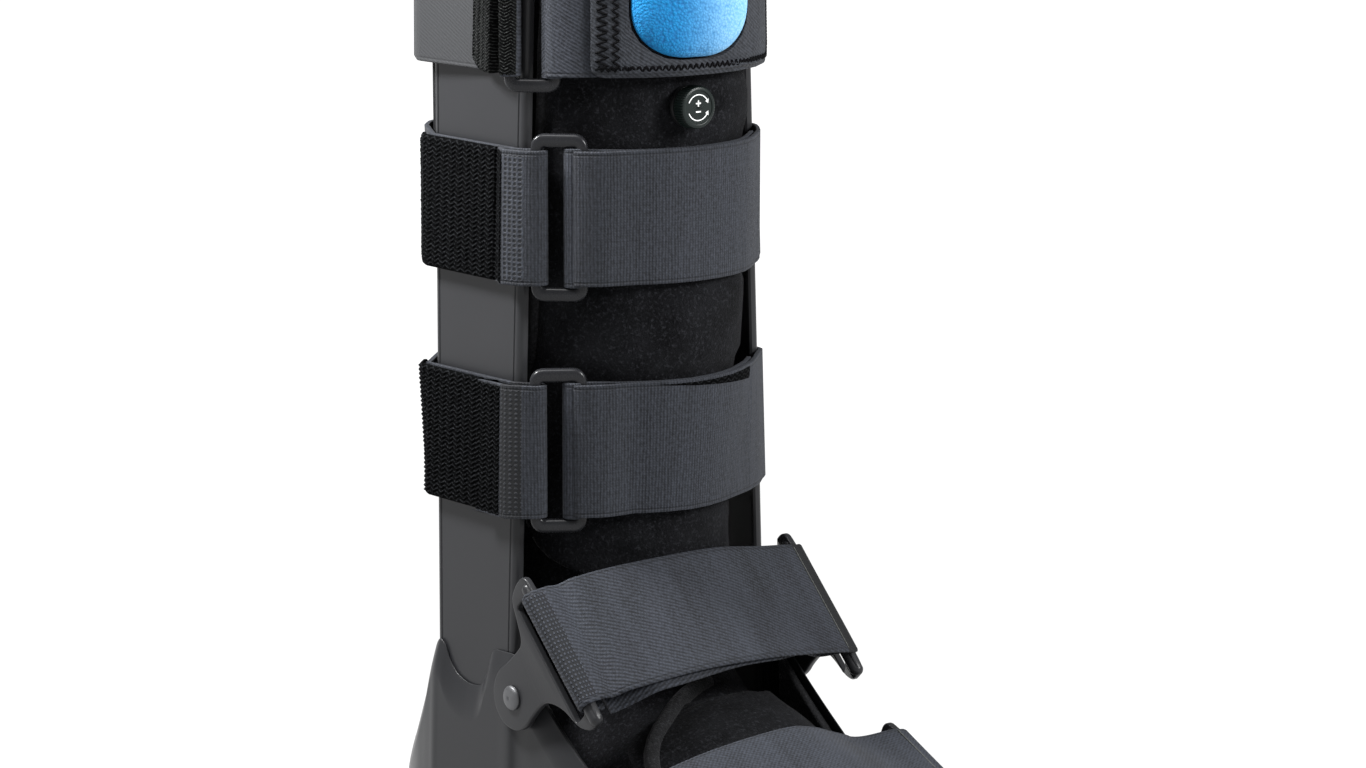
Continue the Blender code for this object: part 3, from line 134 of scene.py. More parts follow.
class Shade:
    """One material under construction."""

    def __init__(self, name: str) -> None:
        """Start a material with its Principled BSDF.

        Args:
            name: The material's name.
        """
        self.material = bpy.data.materials.new(name)
        self.material.use_nodes = True
        self.tree = self.material.node_tree
        self.surface = self.tree.nodes["Principled BSDF"]

    def node(self, kind: str, sockets: dict, output: int | str = 0, **settings: object) -> Val:
        """Add a node.

        Args:
            kind: The node's type without its first word, ShaderNode.
            sockets: Values or links by input name or number.
            output: Name or number of the output that is wanted.
            settings: The node's settings, set before its inputs.

        Returns:
            The output.
        """
        made = self.tree.nodes.new("ShaderNode" + kind)
        put(made, **settings)
        for key, value in sockets.items():
            self.feed(made.inputs[key], value)
        return Val(self, made.outputs[output])

    def feed(self, target: bpy.types.NodeSocket, value: "Val | float | tuple") -> None:
        """Link a value to a socket, or set it there when it is constant.

        Args:
            target: The socket.
            value: A value of a node, or a constant.
        """
        if isinstance(value, Val):
            self.tree.links.new(value.socket, target)
        else:
            target.default_value = value

    def math(self, operation: str, *values: "Val | float") -> Val:
        """Return the result of a Math node."""
        return self.node("Math", dict(enumerate(values)), operation=operation)

    def split(self, where: Val) -> list[Val]:
        """Return a vector and its three parts."""
        first = self.node("SeparateXYZ", {0: where})
        return [where] + [Val(self, part) for part in first.socket.node.outputs]

    def place(self) -> list[Val]:
        """Return the object coordinates as a vector and as x, y and z."""
        return self.split(self.node("TexCoord", {}, "Object"))

    def cloth(self) -> list[Val]:
        """Return the cloth coordinates as a vector, along the cloth and across it, in metres."""
        return self.split(self.node("UVMap", {}, uv_map="cloth"))[:3]

    def noise(self, where: Val, scale: "float | tuple", detail: float = 2.0,
              rough: float = 0.5) -> Val:
        """Return fractal noise from 0 to 1.

        Args:
            where: The coordinates.
            scale: One scale, or one for each part of the coordinates.
            detail: How many octaves it has.
            rough: How much each octave counts.

        Returns:
            The noise.
        """
        if isinstance(scale, tuple):
            where = self.node("VectorMath", {0: where, 1: scale}, operation="MULTIPLY")
            scale = 1.0
        return self.node("TexNoise", {"Vector": where, "Scale": scale, "Detail": detail,
                                      "Roughness": rough})

    def cells(self, where: Val, scale: float) -> Val:
        """Return the distance to the nearest of scattered points."""
        return self.node("TexVoronoi", {"Vector": where, "Scale": scale}, "Distance")

    def mix(self, share: "Val | float", first: "Val | Colour", second: "Val | Colour") -> Val:
        """Return a blend of two colours."""
        one, two = (c if isinstance(c, Val) else (*c, 1.0) for c in (first, second))
        return self.node("Mix", {0: share, 6: one, 7: two}, 2, data_type="RGBA")

    def relief(self, height: Val, depth: float, strength: float) -> None:
        """Raise the surface by a height from 0 to 1 times a depth in metres."""
        self.coat(Normal=self.node("Bump", {"Height": height, "Distance": depth,
                                            "Strength": strength}))

    def coat(self, **sockets: "Val | float | tuple") -> Material:
        """Feed the shader's own sockets, named with _ for a space, and return the material.

        Args:
            sockets: Values or links by socket name.

        Returns:
            The material.
        """
        for key, value in sockets.items():
            self.feed(self.surface.inputs[key.replace("_", " ")], value)
        return self.material


def scaled(colour: Colour, share: float) -> Colour:
    """Return a colour with each part multiplied."""
    return tuple(part * share for part in colour)


# Finishes


@dataclass(frozen=True)
class MouldedPlastic:
    """Satin moulded plastic with a fine spark texture."""

    name: str
    colour: Colour = (0.0170, 0.0174, 0.0190)
    roughness: float = 0.34
    grain: float = 0.00005
    gloss: float = 0.21

    def make(self) -> Material:
        """Make the material: spark grain, cloudy gloss and faint upright scuffs.

        Returns:
            The material.
        """
        s = Shade(self.name)
        where = s.place()[0]
        cloud = s.noise(where, 26.0, 3.0)
        spark = s.noise(where, 2300.0, 2.0, 0.6)
        scuff = s.noise(where, (420.0, 420.0, 60.0), 4.0, 0.65).rise(0.66, 0.80)
        base = s.mix(cloud, scaled(self.colour, 0.90), scaled(self.colour, 1.10))
        base = s.mix(scuff * 0.35, base, scaled(self.colour, 1.5))
        s.relief(spark, self.grain, 0.7)
        return s.coat(Base_Color=base, Specular_IOR_Level=self.gloss,
                      Roughness=self.roughness + 0.10 * (cloud - 0.5) + 0.10 * (spark - 0.5))


class Weave(Enum):
    """How a webbing is woven."""

    RIB = "rib"
    TWILL = "twill"
    DOTTED = "dotted"
    PLAIN = "plain"


@dataclass(frozen=True)
class Webbing:
    """Woven webbing in cloth coordinates, with selvedges and, where wanted, rows of weld dots.

    Dots and patch are stretches along the cloth. The fade is painted shade that darkens the cloth
    towards its negative end. The weld dots are real; they are painted bright as highlights on
    their raised bumps with painted shade between them, or, with holes, drawn as dark holes of
    painted shade in a bright zone. Relief is the height that the bump stands for.
    """

    name: str
    weave: Weave
    width: float = 50.0 * MM
    dots: Pair = NOWHERE
    dot_depth: float = 0.0004
    dot_highlight: float = 0.40
    light: Colour = (0.0365, 0.0412, 0.0530)
    dark: Colour = (0.0040, 0.0045, 0.0060)
    pitch: Pair = (2.2 * MM, 1.75 * MM)
    patch: Pair = NOWHERE
    patch_colour: Colour = (0.0045, 0.0048, 0.0056)
    patch_share: float = 1.0
    # The fade and its run: painted shade that darkens the cloth towards its negative end
    fade: float = 0.0
    painted_shade_run: Pair = (-0.060, 0.010)
    holes: bool = False
    relief: float = 0.00045

    def thread(self, along: Val, across: Val, wander: Val) -> Val:
        """Return the height of the threads, from 0 to 1.

        Args:
            along: Cloth coordinate along the webbing.
            across: Cloth coordinate across it.
            wander: Slow noise that makes the threads uneven.

        Returns:
            The height.
        """
        if self.weave is Weave.RIB:
            pick = (across / 0.0010 + 0.5 * wander).wave()
            return (along / 0.00125 + 0.8 * wander).wave() * (0.55 + 0.45 * pick)
        if self.weave is Weave.TWILL:
            pick = ((along + across * 0.5) / 0.0013).wave()
            slope = ((across - along * 0.55) / 0.00165 + 0.5 * wander).wave()
            return slope * (0.55 + 0.45 * pick)
        if self.weave is Weave.DOTTED:
            row = (TURN * (along / 0.0019 + 0.3 * wander)).sine()
            return row * (TURN * (across / 0.0017)).sine() * 0.5 + 0.5
        return ((across + along * 0.6) / 0.0014 + 0.5 * wander).wave() * 0.7 + 0.15

    def make(self) -> Material:
        """Make the material: threads, slubs, edges, weld dots and one patch of another colour.

        The weld dots carry painted highlights and painted shade. The fade is painted shade, and
        the soft bands on twill and dotted cloth paint light and shade.

        Returns:
            The material.
        """
        s = Shade(self.name)
        where, along, across = s.cloth()
        wander = s.noise(where, (240.0, 90.0, 1.0), 3.0)
        fuzz = s.noise(where, 3400.0, 2.0, 0.7)
        speck = s.noise(where, (900.0, 620.0, 1.0), 2.0, 0.6).rise(0.30, 0.72)
        streak = s.noise(where, (260.0, 34.0, 1.0), 3.0, 0.6)
        thread = self.thread(along, across, wander)

        half = self.width / 2.0
        middle = abs(across - half)
        selvedge = middle.rise(half - 0.0021, half - 0.0014)
        groove = selvedge * (1.0 - middle.rise(half - 0.0014, half - 0.0008))
        column = (along / self.pitch[0]).fraction() - 0.5
        row = (across / self.pitch[1]).fraction() - 0.5
        away = column * column + row * row
        dot = away.rise(0.06, 0.17) if self.holes else 1.0 - away.rise(0.025, 0.12)
        zone = along.between(*self.dots) * (1.0 - middle.rise(half - 0.0022, half - 0.0018))

        cross_cloth = self.weave in (Weave.TWILL, Weave.DOTTED)
        strength, less = (0.66, 0.09) if cross_cloth else (0.40, 0.0)
        shade = thread * strength + speck * 0.40 + fuzz * 0.16 + 0.50 * (streak - 0.5) - less
        if cross_cloth:
            # Painted light and shade: soft lighter and darker bands, like those of an undulating
            # strap
            shade = shade * 1.15 + 0.9 * (s.noise(where, (58.0, 14.0, 1.0)) - 0.5)
        # Painted shade: the fade darkens the cloth towards its negative end
        shade = shade * (1.0 - self.fade * (1.0 - along.rise(*self.painted_shade_run)))
        # Painted light in the weld-dot zone: the raised dots, or the net round the holes, are
        # painted bright as highlights and the hollows dark as painted shade
        shade = (shade * (1.0 - 0.45 * groove) * (1.0 - zone)
                 + zone * (0.04 + dot * (self.dot_highlight + 0.60 * speck)))
        base = s.mix(shade, self.dark, self.light)
        if self.patch != NOWHERE:
            base = s.mix(along.between(*self.patch) * self.patch_share, base, self.patch_colour)
        s.relief((thread * 0.42 + speck * 0.15) * (1.0 - zone) - groove * 0.5
                 + dot * zone * (self.dot_depth / self.relief), self.relief, 0.75)
        return s.coat(Base_Color=base, Roughness=0.76, Sheen_Weight=0.03, Sheen_Roughness=0.5,
                      Specular_IOR_Level=0.22)


@dataclass(frozen=True)
class Pile:
    """Brushed loop pile, nearly black."""

    name: str
    dark: Colour = (0.0016, 0.0017, 0.0020)
    light: Colour = (0.0180, 0.0186, 0.0215)
    sheen: float = 0.02
    gloss: float = 0.05

    def make(self) -> Material:
        """Make the material: curled loops, brushed patches and a soft sheen.

        Returns:
            The material.
        """
        s = Shade(self.name)
        where = s.place()[0]
        loops = s.cells(where, 1150.0)
        curl = s.noise(where, 2100.0, 3.0, 0.7)
        brushed = s.noise(where, 55.0, 4.0, 0.6)
        speck = s.noise(where, 780.0, 2.0, 0.7).rise(0.50, 0.74)
        shade = curl * 0.30 + (1.0 - loops) * 0.15 + 0.9 * (brushed - 0.5) + 0.75 * speck
        s.relief(curl * 0.6 + loops * 0.4 + brushed * 0.5, 0.0007, 0.9)
        return s.coat(Base_Color=s.mix(shade, self.dark, self.light), Roughness=0.96,
                      Sheen_Weight=self.sheen, Sheen_Roughness=0.45,
                      Specular_IOR_Level=self.gloss)


@dataclass(frozen=True)
class HookTape:
    """Black hook tape woven in zigzag rows."""

    name: str
    row: float = 1.75 * MM
    turn: float = 4.6 * MM
    slant: float = 0.75
    dark: Colour = (0.0009, 0.0010, 0.0011)
    # light is the colour of the painted highlights on the hooks
    light: Colour = (0.019, 0.020, 0.022)

    def lanes(self, along: "Val | Array", across: "Val | Array",
              fraction: Callable) -> "Val | Array":
        """Return across / row + slant * triangle(along / turn), which counts the rows.

        Args:
            along: Cloth coordinate along the tape.
            across: Cloth coordinate across it.
            fraction: Function that gives the part after the decimal point.

        Returns:
            The count, which rises by 1 from row to row.
        """
        return across / self.row + abs(fraction(along / self.turn) - 0.5) * 2.0 * self.slant

    def make(self) -> Material:
        """Make the material: painted highlights on the hooks along the rows, with the black ground
        between them.

        Returns:
            The material.
        """
        s = Shade(self.name)
        where, along, across = s.cloth()
        rows = self.lanes(along, across, Val.fraction).wave()
        hooks = s.noise(where, 1500.0, 2.0, 0.7).rise(0.38, 0.66)
        fine = s.noise(where, 3100.0, 2.0, 0.7)
        # Painted highlight: bright specks on the hooks along the crests of the rows
        painted_glint = rows.rise(0.55, 1.0) * hooks * (0.2 + 0.8 * fine) * 1.6
        s.relief(hooks * 0.6 + fine * 0.4, 0.0005, 0.8)
        return s.coat(Base_Color=s.mix(painted_glint, self.dark, self.light),
                      Roughness=0.85 - 0.15 * painted_glint, Specular_IOR_Level=0.02)


@dataclass(frozen=True)
class NubbyCloth:
    """Bright nubby cloth over the pump bulb, with painted shade towards -X and painted light
    towards +X.
    """

    name: str
    # Dark and light blues of the shaded copy and of the lit copy: painted shade and painted light
    shaded_blues: tuple[Colour, Colour] = ((0.0006, 0.085, 0.250), (0.0012, 0.225, 0.510))
    lit_blues: tuple[Colour, Colour] = ((0.11, 0.36, 0.60), (0.42, 0.64, 0.85))
    # Where the painted shade turns into painted light, in x
    turn: Pair = (-0.020, 0.026)

    def make(self) -> Material:
        """Make the material: small nubs, paler where they stand proud, blended from a shaded copy
        towards -X to a lit copy towards +X as painted light.

        Returns:
            The material.
        """
        s = Shade(self.name)
        where, x = s.place()[:2]
        nubs = s.cells(where, 980.0)
        curl = s.noise(where, 1500.0, 2.0, 0.6)
        patch = s.noise(where, 130.0, 3.0)
        shade = (1.0 - nubs * 1.1) * 0.65 + curl * 0.30 + 0.5 * (patch - 0.5)
        # Painted light: the shaded copy towards -X blends into the lit copy towards +X
        base = s.mix(x.rise(*self.turn), s.mix(shade, *self.shaded_blues), s.mix(shade, *self.lit_blues))
        s.relief((1.0 - nubs) * 0.7 + curl * 0.3, 0.0006, 0.8)
        return s.coat(Base_Color=base, Roughness=0.80, Sheen_Weight=0.03, Sheen_Roughness=0.4,
                      Sheen_Tint=(0.45, 0.80, 1.0, 1.0), Specular_IOR_Level=0.3)


@dataclass(frozen=True)
class Rubber:
    """Matte sole rubber with a dusty bloom."""

    name: str

    def make(self) -> Material:
        """Make the material: moulding grain and bloom.

        Returns:
            The material.
        """
        s = Shade(self.name)
        where = s.place()[0]
        grain = s.noise(where, 1400.0, 3.0, 0.6)
        base = s.mix(s.noise(where, 38.0, 4.0), (0.016, 0.016, 0.017), (0.034, 0.034, 0.035))
        s.relief(grain, 0.00012, 0.8)
        return s.coat(Base_Color=base, Roughness=0.72 + 0.12 * (grain - 0.5))


@dataclass(frozen=True)
class Steel:
    """Dull rivet metal."""

    name: str

    def make(self) -> Material:
        """Make the material: fine grain and tarnish.

        Returns:
            The material.
        """
        s = Shade(self.name)
        where = s.place()[0]
        tarnish = s.noise(where, 320.0, 3.0)
        s.relief(s.noise(where, 1800.0), 0.00004, 0.5)
        return s.coat(Base_Color=s.mix(tarnish, (0.055, 0.056, 0.060), (0.115, 0.117, 0.122)),
                      Roughness=0.34 + 0.18 * tarnish, Metallic=0.55)


@dataclass(frozen=True)
class Thread:
    """Sewing thread."""

    name: str
    colour: Colour

    def make(self) -> Material:
        """Make the material: strands of uneven darkness.

        Returns:
            The material.
        """
        s = Shade(self.name)
        strand = s.noise(s.place()[0], 3000.0)
        base = s.mix(strand, scaled(self.colour, 0.6), scaled(self.colour, 1.5))
        return s.coat(Base_Color=base, Roughness=0.9, Specular_IOR_Level=0.06)


@dataclass(frozen=True)
class PadPrint:
    """White pad print on the dial."""

    name: str

    def make(self) -> Material:
        """Make the material: slightly worn white ink.

        Returns:
            The material.
        """
        s = Shade(self.name)
        wear = s.noise(s.place()[0], 1500.0, 3.0)
        return s.coat(Base_Color=s.mix(wear, (0.62, 0.64, 0.63), (0.86, 0.87, 0.86)),
                      Roughness=0.5)


@cache
def piece_finish(finish: "Webbing | HookTape") -> Material:
    """Return a finish's material, made once."""
    return finish.make()


# Surfaces


def smooth(low: float, high: float, value: Array) -> Array:
    """Return the smooth step 3t^2 - 2t^3 of a value between two limits."""
    t = np.clip((value - low) / (high - low), 0.0, 1.0)
    return t * t * (3.0 - 2.0 * t)


def joined(*parts: Array | float) -> Array:
    """Return arrays, spread to one shape, as the parts of points in a last axis."""
    return np.stack(np.broadcast_arrays(*parts), -1)


def circle(count: int) -> Array:
    """Return angles spaced evenly round a circle."""
    return np.linspace(0.0, TURN, count, endpoint=False)


def unit(rows: Array) -> Array:
    """Return vectors made 1 long."""
    return rows / np.linalg.norm(rows, axis=-1, keepdims=True)


def run_of(path: Array) -> Array:
    """Return the length along a path at each of its points."""
    return np.concatenate([[0.0], np.cumsum(np.linalg.norm(np.diff(path, axis=0), axis=1))])


def angle_of(spots: Array) -> Array:
    """Return the angle of points round the leg, from the front towards +X."""
    return np.arctan2(spots[:, 0], -spots[:, 1])


def flowing(rows: Array, per: int, before: Array, after: Array) -> Array:
    """Return a Catmull-Rom curve through rows.

    Each span is 0.5 (2b + (c-a)t + (2a-5b+4c-d)t^2 + (3b-a-3c+d)t^3) of its four nearest rows.

    Args:
        rows: Control rows.
        per: Steps in each span.
        before: The row before the first.
        after: The row after the last.

    Returns:
        The finer rows.
    """
    p = np.vstack([before, rows, after])
    t = np.linspace(0.0, 1.0, per, endpoint=False)[None, :, None]
    a, b, c, d = (p[i:len(p) - 3 + i, None, :] for i in range(4))
    span = 0.5 * (2 * b + (c - a) * t + (2 * a - 5 * b + 4 * c - d) * t ** 2
                  + (3 * b - a - 3 * c + d) * t ** 3)
    return np.vstack([span.reshape(-1, rows.shape[1]), rows[-1:]])


def grid_faces(rows: int, columns: int, close_rows: bool = False,
               close_columns: bool = False) -> Array:
    """Return the quads of a grid of points stored row by row.

    Args:
        rows: How many rows of points there are.
        columns: How many points a row has.
        close_rows: Whether the last row is joined to the first.
        close_columns: Whether each row is a closed ring.

    Returns:
        Four point numbers for each face.
    """
    r = np.arange(rows if close_rows else rows - 1)[:, None]
    c = np.arange(columns if close_columns else columns - 1)[None, :]
    r2, c2 = (r + 1) % rows, (c + 1) % columns
    quads = np.stack([r * columns + c, r * columns + c2, r2 * columns + c2, r2 * columns + c], -1)
    return quads.reshape(-1, 4)


def stack_faces(rows: int, columns: int) -> list[list[int]]:
    """Return the faces of stacked closed rings of points, with a cap at each end.

    Args:
        rows: How many rings there are.
        columns: How many points a ring has.

    Returns:
        The point numbers of each face.
    """
    last = (rows - 1) * columns
    return grid_faces(rows, columns, False, True).tolist() + [
        list(range(columns)), list(range(last + columns - 1, last - 1, -1))]


def link(name: str, data: bpy.types.ID | None) -> Piece:
    """Add an object with its data to the scene.

    Args:
        name: The object's name.
        data: Its mesh, light or camera, or None.

    Returns:
        The object.
    """
    made = bpy.data.objects.new(name, data)
    bpy.context.scene.collection.objects.link(made)
    return made


def finish_mesh(name: str, mesh: bpy.types.Mesh, work: bmesh.types.BMesh, sharp: float) -> Piece:
    """Write a mesh from its bmesh, with edges over an angle sharp, and make its object.

    Args:
        name: The piece's name.
        mesh: The mesh that is written.
        work: The bmesh, which is freed.
        sharp: The angle in degrees.

    Returns:
        The object.
    """
    work.to_mesh(mesh)
    work.free()
    mesh.shade_smooth()
    mesh.set_sharp_from_angle(angle=math.radians(sharp))
    return link(name, mesh)


def new_piece(name: str, points: Array, faces: Array | list | None = None,
              cloth: Array | None = None, sharp: float = 40.0, merge: float = 1e-6,
              cut: bool = False) -> Piece:
    """Make an object from points and faces.

    Args:
        name: The piece's name.
        points: Its points, in a last axis of 3.
        faces: Its faces as point numbers, or None where the points are rows of closed rings.
        cloth: Cloth coordinates of the points, where the piece is cloth.
        sharp: Edges over this angle in degrees stay sharp.
        merge: Points nearer than this are joined.
        cut: Whether faces of more than four corners are cut into triangles.

    Returns:
        The object, with its faces pointing outwards.
    """
    if faces is None:
        faces = grid_faces(*points.shape[:2], False, True)
    mesh = bpy.data.meshes.new(name)
    mesh.from_pydata(points.reshape(-1, 3).tolist(), [],
                     faces.tolist() if isinstance(faces, Array) else faces)
    if cloth is not None:
        corners = corners_of(mesh)
        layer = mesh.uv_layers.new(name="cloth")
        layer.data.foreach_set("uv", cloth.reshape(-1, 2).astype(np.float32)[corners].ravel())
    work = bmesh.new()
    work.from_mesh(mesh)
    bmesh.ops.remove_doubles(work, verts=work.verts, dist=merge)
    bmesh.ops.recalc_face_normals(work, faces=work.faces)
    if work.calc_volume(signed=True) < 0.0:
        bmesh.ops.reverse_faces(work, faces=work.faces)
    if cut:
        bmesh.ops.triangulate(work, faces=[f for f in work.faces if len(f.verts) > 4])
    return finish_mesh(name, mesh, work, sharp)


def slab(name: str, front: Array, back: Array, cloth: Array, sharp: float = 40.0) -> Piece:
    """Make a closed piece between two grids of points of one shape.

    Args:
        name: The piece's name.
        front: Points of the outer face, rows by columns by 3.
        back: Points of the inner face, the same shape.
        cloth: Cloth coordinates of the grid, rows by columns by 2.
        sharp: Edges over this angle in degrees stay sharp.

    Returns:
        The object.
    """
    rows, columns = front.shape[:2]
    size = rows * columns
    number = np.arange(size).reshape(rows, columns)
    rim = np.concatenate([number[0], number[1:, -1], number[-1, -2::-1], number[-2:0:-1, 0]])
    after = np.roll(rim, -1)
    faces = np.vstack([grid_faces(rows, columns), grid_faces(rows, columns)[:, ::-1] + size,
                       np.stack([after, rim, rim + size, after + size], -1)])
    return new_piece(name, np.stack([front, back]), faces, np.stack([cloth, cloth]), sharp)


def tube(name: str, path: Array, radius: float | Array, sides: int) -> Piece:
    """Make a round tube: circles of a radius, square to a path, joined point by point.

    Args:
        name: The piece's name.
        path: Points of the middle line.
        radius: One radius, or one for each point.
        sides: Points of each circle.

    Returns:
        The object.
    """
    along = np.roll(path, -1, 0) - np.roll(path, 1, 0)
    along[0], along[-1] = path[1] - path[0], path[-1] - path[-2]
    along = unit(along)
    upright = np.abs(along[:, 2:3]) > 0.9
    side = unit(np.cross(along, np.where(upright, [[0.0, 1.0, 0.0]], [[0.0, 0.0, 1.0]])))
    up = np.cross(side, along)
    turn = circle(sides)[None, :, None]
    reach = np.broadcast_to(np.asarray(radius, float), (len(path),))[:, None, None]
    rings = path[:, None] + reach * (np.cos(turn) * side[:, None] + np.sin(turn) * up[:, None])
    return new_piece(name, rings, stack_faces(len(path), sides), sharp=60.0)


def turned(name: str, profile: Array, centre: Array, axis: tuple[float, float, float],
           sides: int = 64, flute: float = 0.0, flutes: int = 0,
           where: Pair = (0.0, 0.0)) -> Piece:
    """Make a turned piece: a profile of (radius, height) carried round an axis.

    The radius is lessened by flute * (0.5 + 0.5 cos(flutes * angle)) between two heights.

    Args:
        name: The piece's name.
        profile: Radius and height of each step, from the foot to the crown.
        centre: The foot of the axis.
        axis: The axis' direction, 1 long.
        sides: Points round the axis.
        flute: Depth of the flutes.
        flutes: How many flutes there are.
        where: Between which heights they run.

    Returns:
        The object.
    """
    axis = np.array(axis)
    first = unit(np.cross(axis, [0.0, 0.0, 1.0]))
    second = np.cross(axis, first)
    turn = circle(sides)[None, :, None]
    radius, height = profile[:, 0, None, None], profile[:, 1, None, None]
    cut = flute * (0.5 + 0.5 * np.cos(flutes * turn))
    radius = radius - cut * ((height >= where[0]) & (height <= where[1]))
    points = centre + radius * (np.cos(turn) * first + np.sin(turn) * second) + height * axis
    return new_piece(name, points, sharp=35.0)


def points_of(mesh: bpy.types.Mesh, what: str = "co") -> Array:
    """Return a mesh's points, or their normals.

    Args:
        mesh: The mesh.
        what: co for the points, normal for their normals.

    Returns:
        One row for each point.
    """
    spots = np.empty(len(mesh.vertices) * 3)
    mesh.vertices.foreach_get(what, spots)
    return spots.reshape(-1, 3)


def corners_of(mesh: bpy.types.Mesh) -> Array:
    """Return the number of the point at each corner of a mesh's faces.

    Args:
        mesh: The mesh.

    Returns:
        One number for each corner, face by face.
    """
    corners = np.empty(len(mesh.loops), np.int32)
    mesh.loops.foreach_get("vertex_index", corners)
    return corners


def move_points(piece: Piece, spots: Array) -> None:
    """Move a piece's points to new places."""
    piece.data.vertices.foreach_set("co", spots.astype(np.float32).ravel())
    piece.data.update()


def node_triangles(*names: str) -> Array:
    """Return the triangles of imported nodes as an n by 3 by 3 array.

    Args:
        names: The nodes' names.

    Returns:
        The triangles of all of them.
    """
    parts = []
    for name in names:
        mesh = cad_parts[name].data
        mesh.calc_loop_triangles()
        order = np.empty(len(mesh.loop_triangles) * 3, np.int32)
        mesh.loop_triangles.foreach_get("vertices", order)
        parts.append(points_of(mesh)[order.reshape(-1, 3)])
    return np.concatenate(parts)


def level_cuts(tris: Array, z: float) -> tuple[Array, Array]:
    """Return where triangles' edges meet a level plane, and which edges cross it.

    Args:
        tris: The triangles.
        z: The plane's height.

    Returns:
        A point on the line of each edge, n by 3 by 3, and whether the edge crosses, n by 3.
    """
    d = tris[..., 2] - z
    d = np.where(np.abs(d) < 1e-9, 1e-9, d)
    share = d / (d - d[:, AFTER] + 1e-30)
    return tris + share[..., None] * (tris[:, AFTER] - tris), d * d[:, AFTER] < 0.0


def node_copy(node: str, name: str, flat: float = 1.0, quads: bool = False,
              sharp: float = 35.0) -> Piece:
    """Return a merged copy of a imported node, with its triangles joined.

    Args:
        node: The node.
        name: The new piece's name.
        flat: Faces that meet under this angle in degrees are joined.
        quads: Whether pairs of triangles are joined instead.
        sharp: Edges over this angle in degrees stay sharp.

    Returns:
        The object.
    """
    corners = node_triangles(node).reshape(-1, 3)
    mesh = bpy.data.meshes.new(name)
    mesh.from_pydata(corners.tolist(), [], np.arange(len(corners)).reshape(-1, 3).tolist())
    work = bmesh.new()
    work.from_mesh(mesh)
    bmesh.ops.remove_doubles(work, verts=work.verts, dist=2e-6)
    if quads:
        bmesh.ops.join_triangles(work, faces=work.faces, angle_face_threshold=math.radians(40.0),
                                 angle_shape_threshold=math.radians(60.0))
    else:
        bmesh.ops.dissolve_limit(work, angle_limit=math.radians(flat), verts=work.verts,
                                 edges=work.edges)
    return finish_mesh(name, mesh, work, sharp)


def bevel(piece: Piece, width: float, segments: int, angle: float) -> None:
    """Round the edges of a piece that are sharper than an angle in degrees.

    Args:
        piece: The piece.
        width: Width of the rounding in metres.
        segments: How many faces it has across.
        angle: The angle in degrees.
    """
    put(piece.modifiers.new("bevel", "BEVEL"), width=width, segments=segments,
        limit_method="ANGLE", angle_limit=math.radians(angle), use_clamp_overlap=True,
        harden_normals=False)


def subdivide(piece: Piece, levels: int = 2) -> None:
    """Add Subdivision Surface at the same level everywhere."""
    put(piece.modifiers.new("subdivision", "SUBSURF"), levels=levels, render_levels=levels)


def bake(piece: Piece) -> None:
    """Replace a piece's mesh by what its modifiers make of it.

    Args:
        piece: The piece, which keeps none of them.
    """
    graph = bpy.context.evaluated_depsgraph_get()
    graph.update()
    made = bpy.data.meshes.new_from_object(piece.evaluated_get(graph))
    piece.modifiers.clear()
    piece.data = made


def fit(piece: Piece, material: Material, slot: str, *nodes: str, body: str = "boot") -> None:
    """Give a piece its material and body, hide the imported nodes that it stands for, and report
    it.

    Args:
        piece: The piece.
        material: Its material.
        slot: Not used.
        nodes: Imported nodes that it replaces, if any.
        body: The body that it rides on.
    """
    piece.data.materials.clear()
    piece.data.materials.append(material)
    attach(piece, body)
    if nodes:
        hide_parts(*nodes)
    LOG.info("%s made", piece.name)


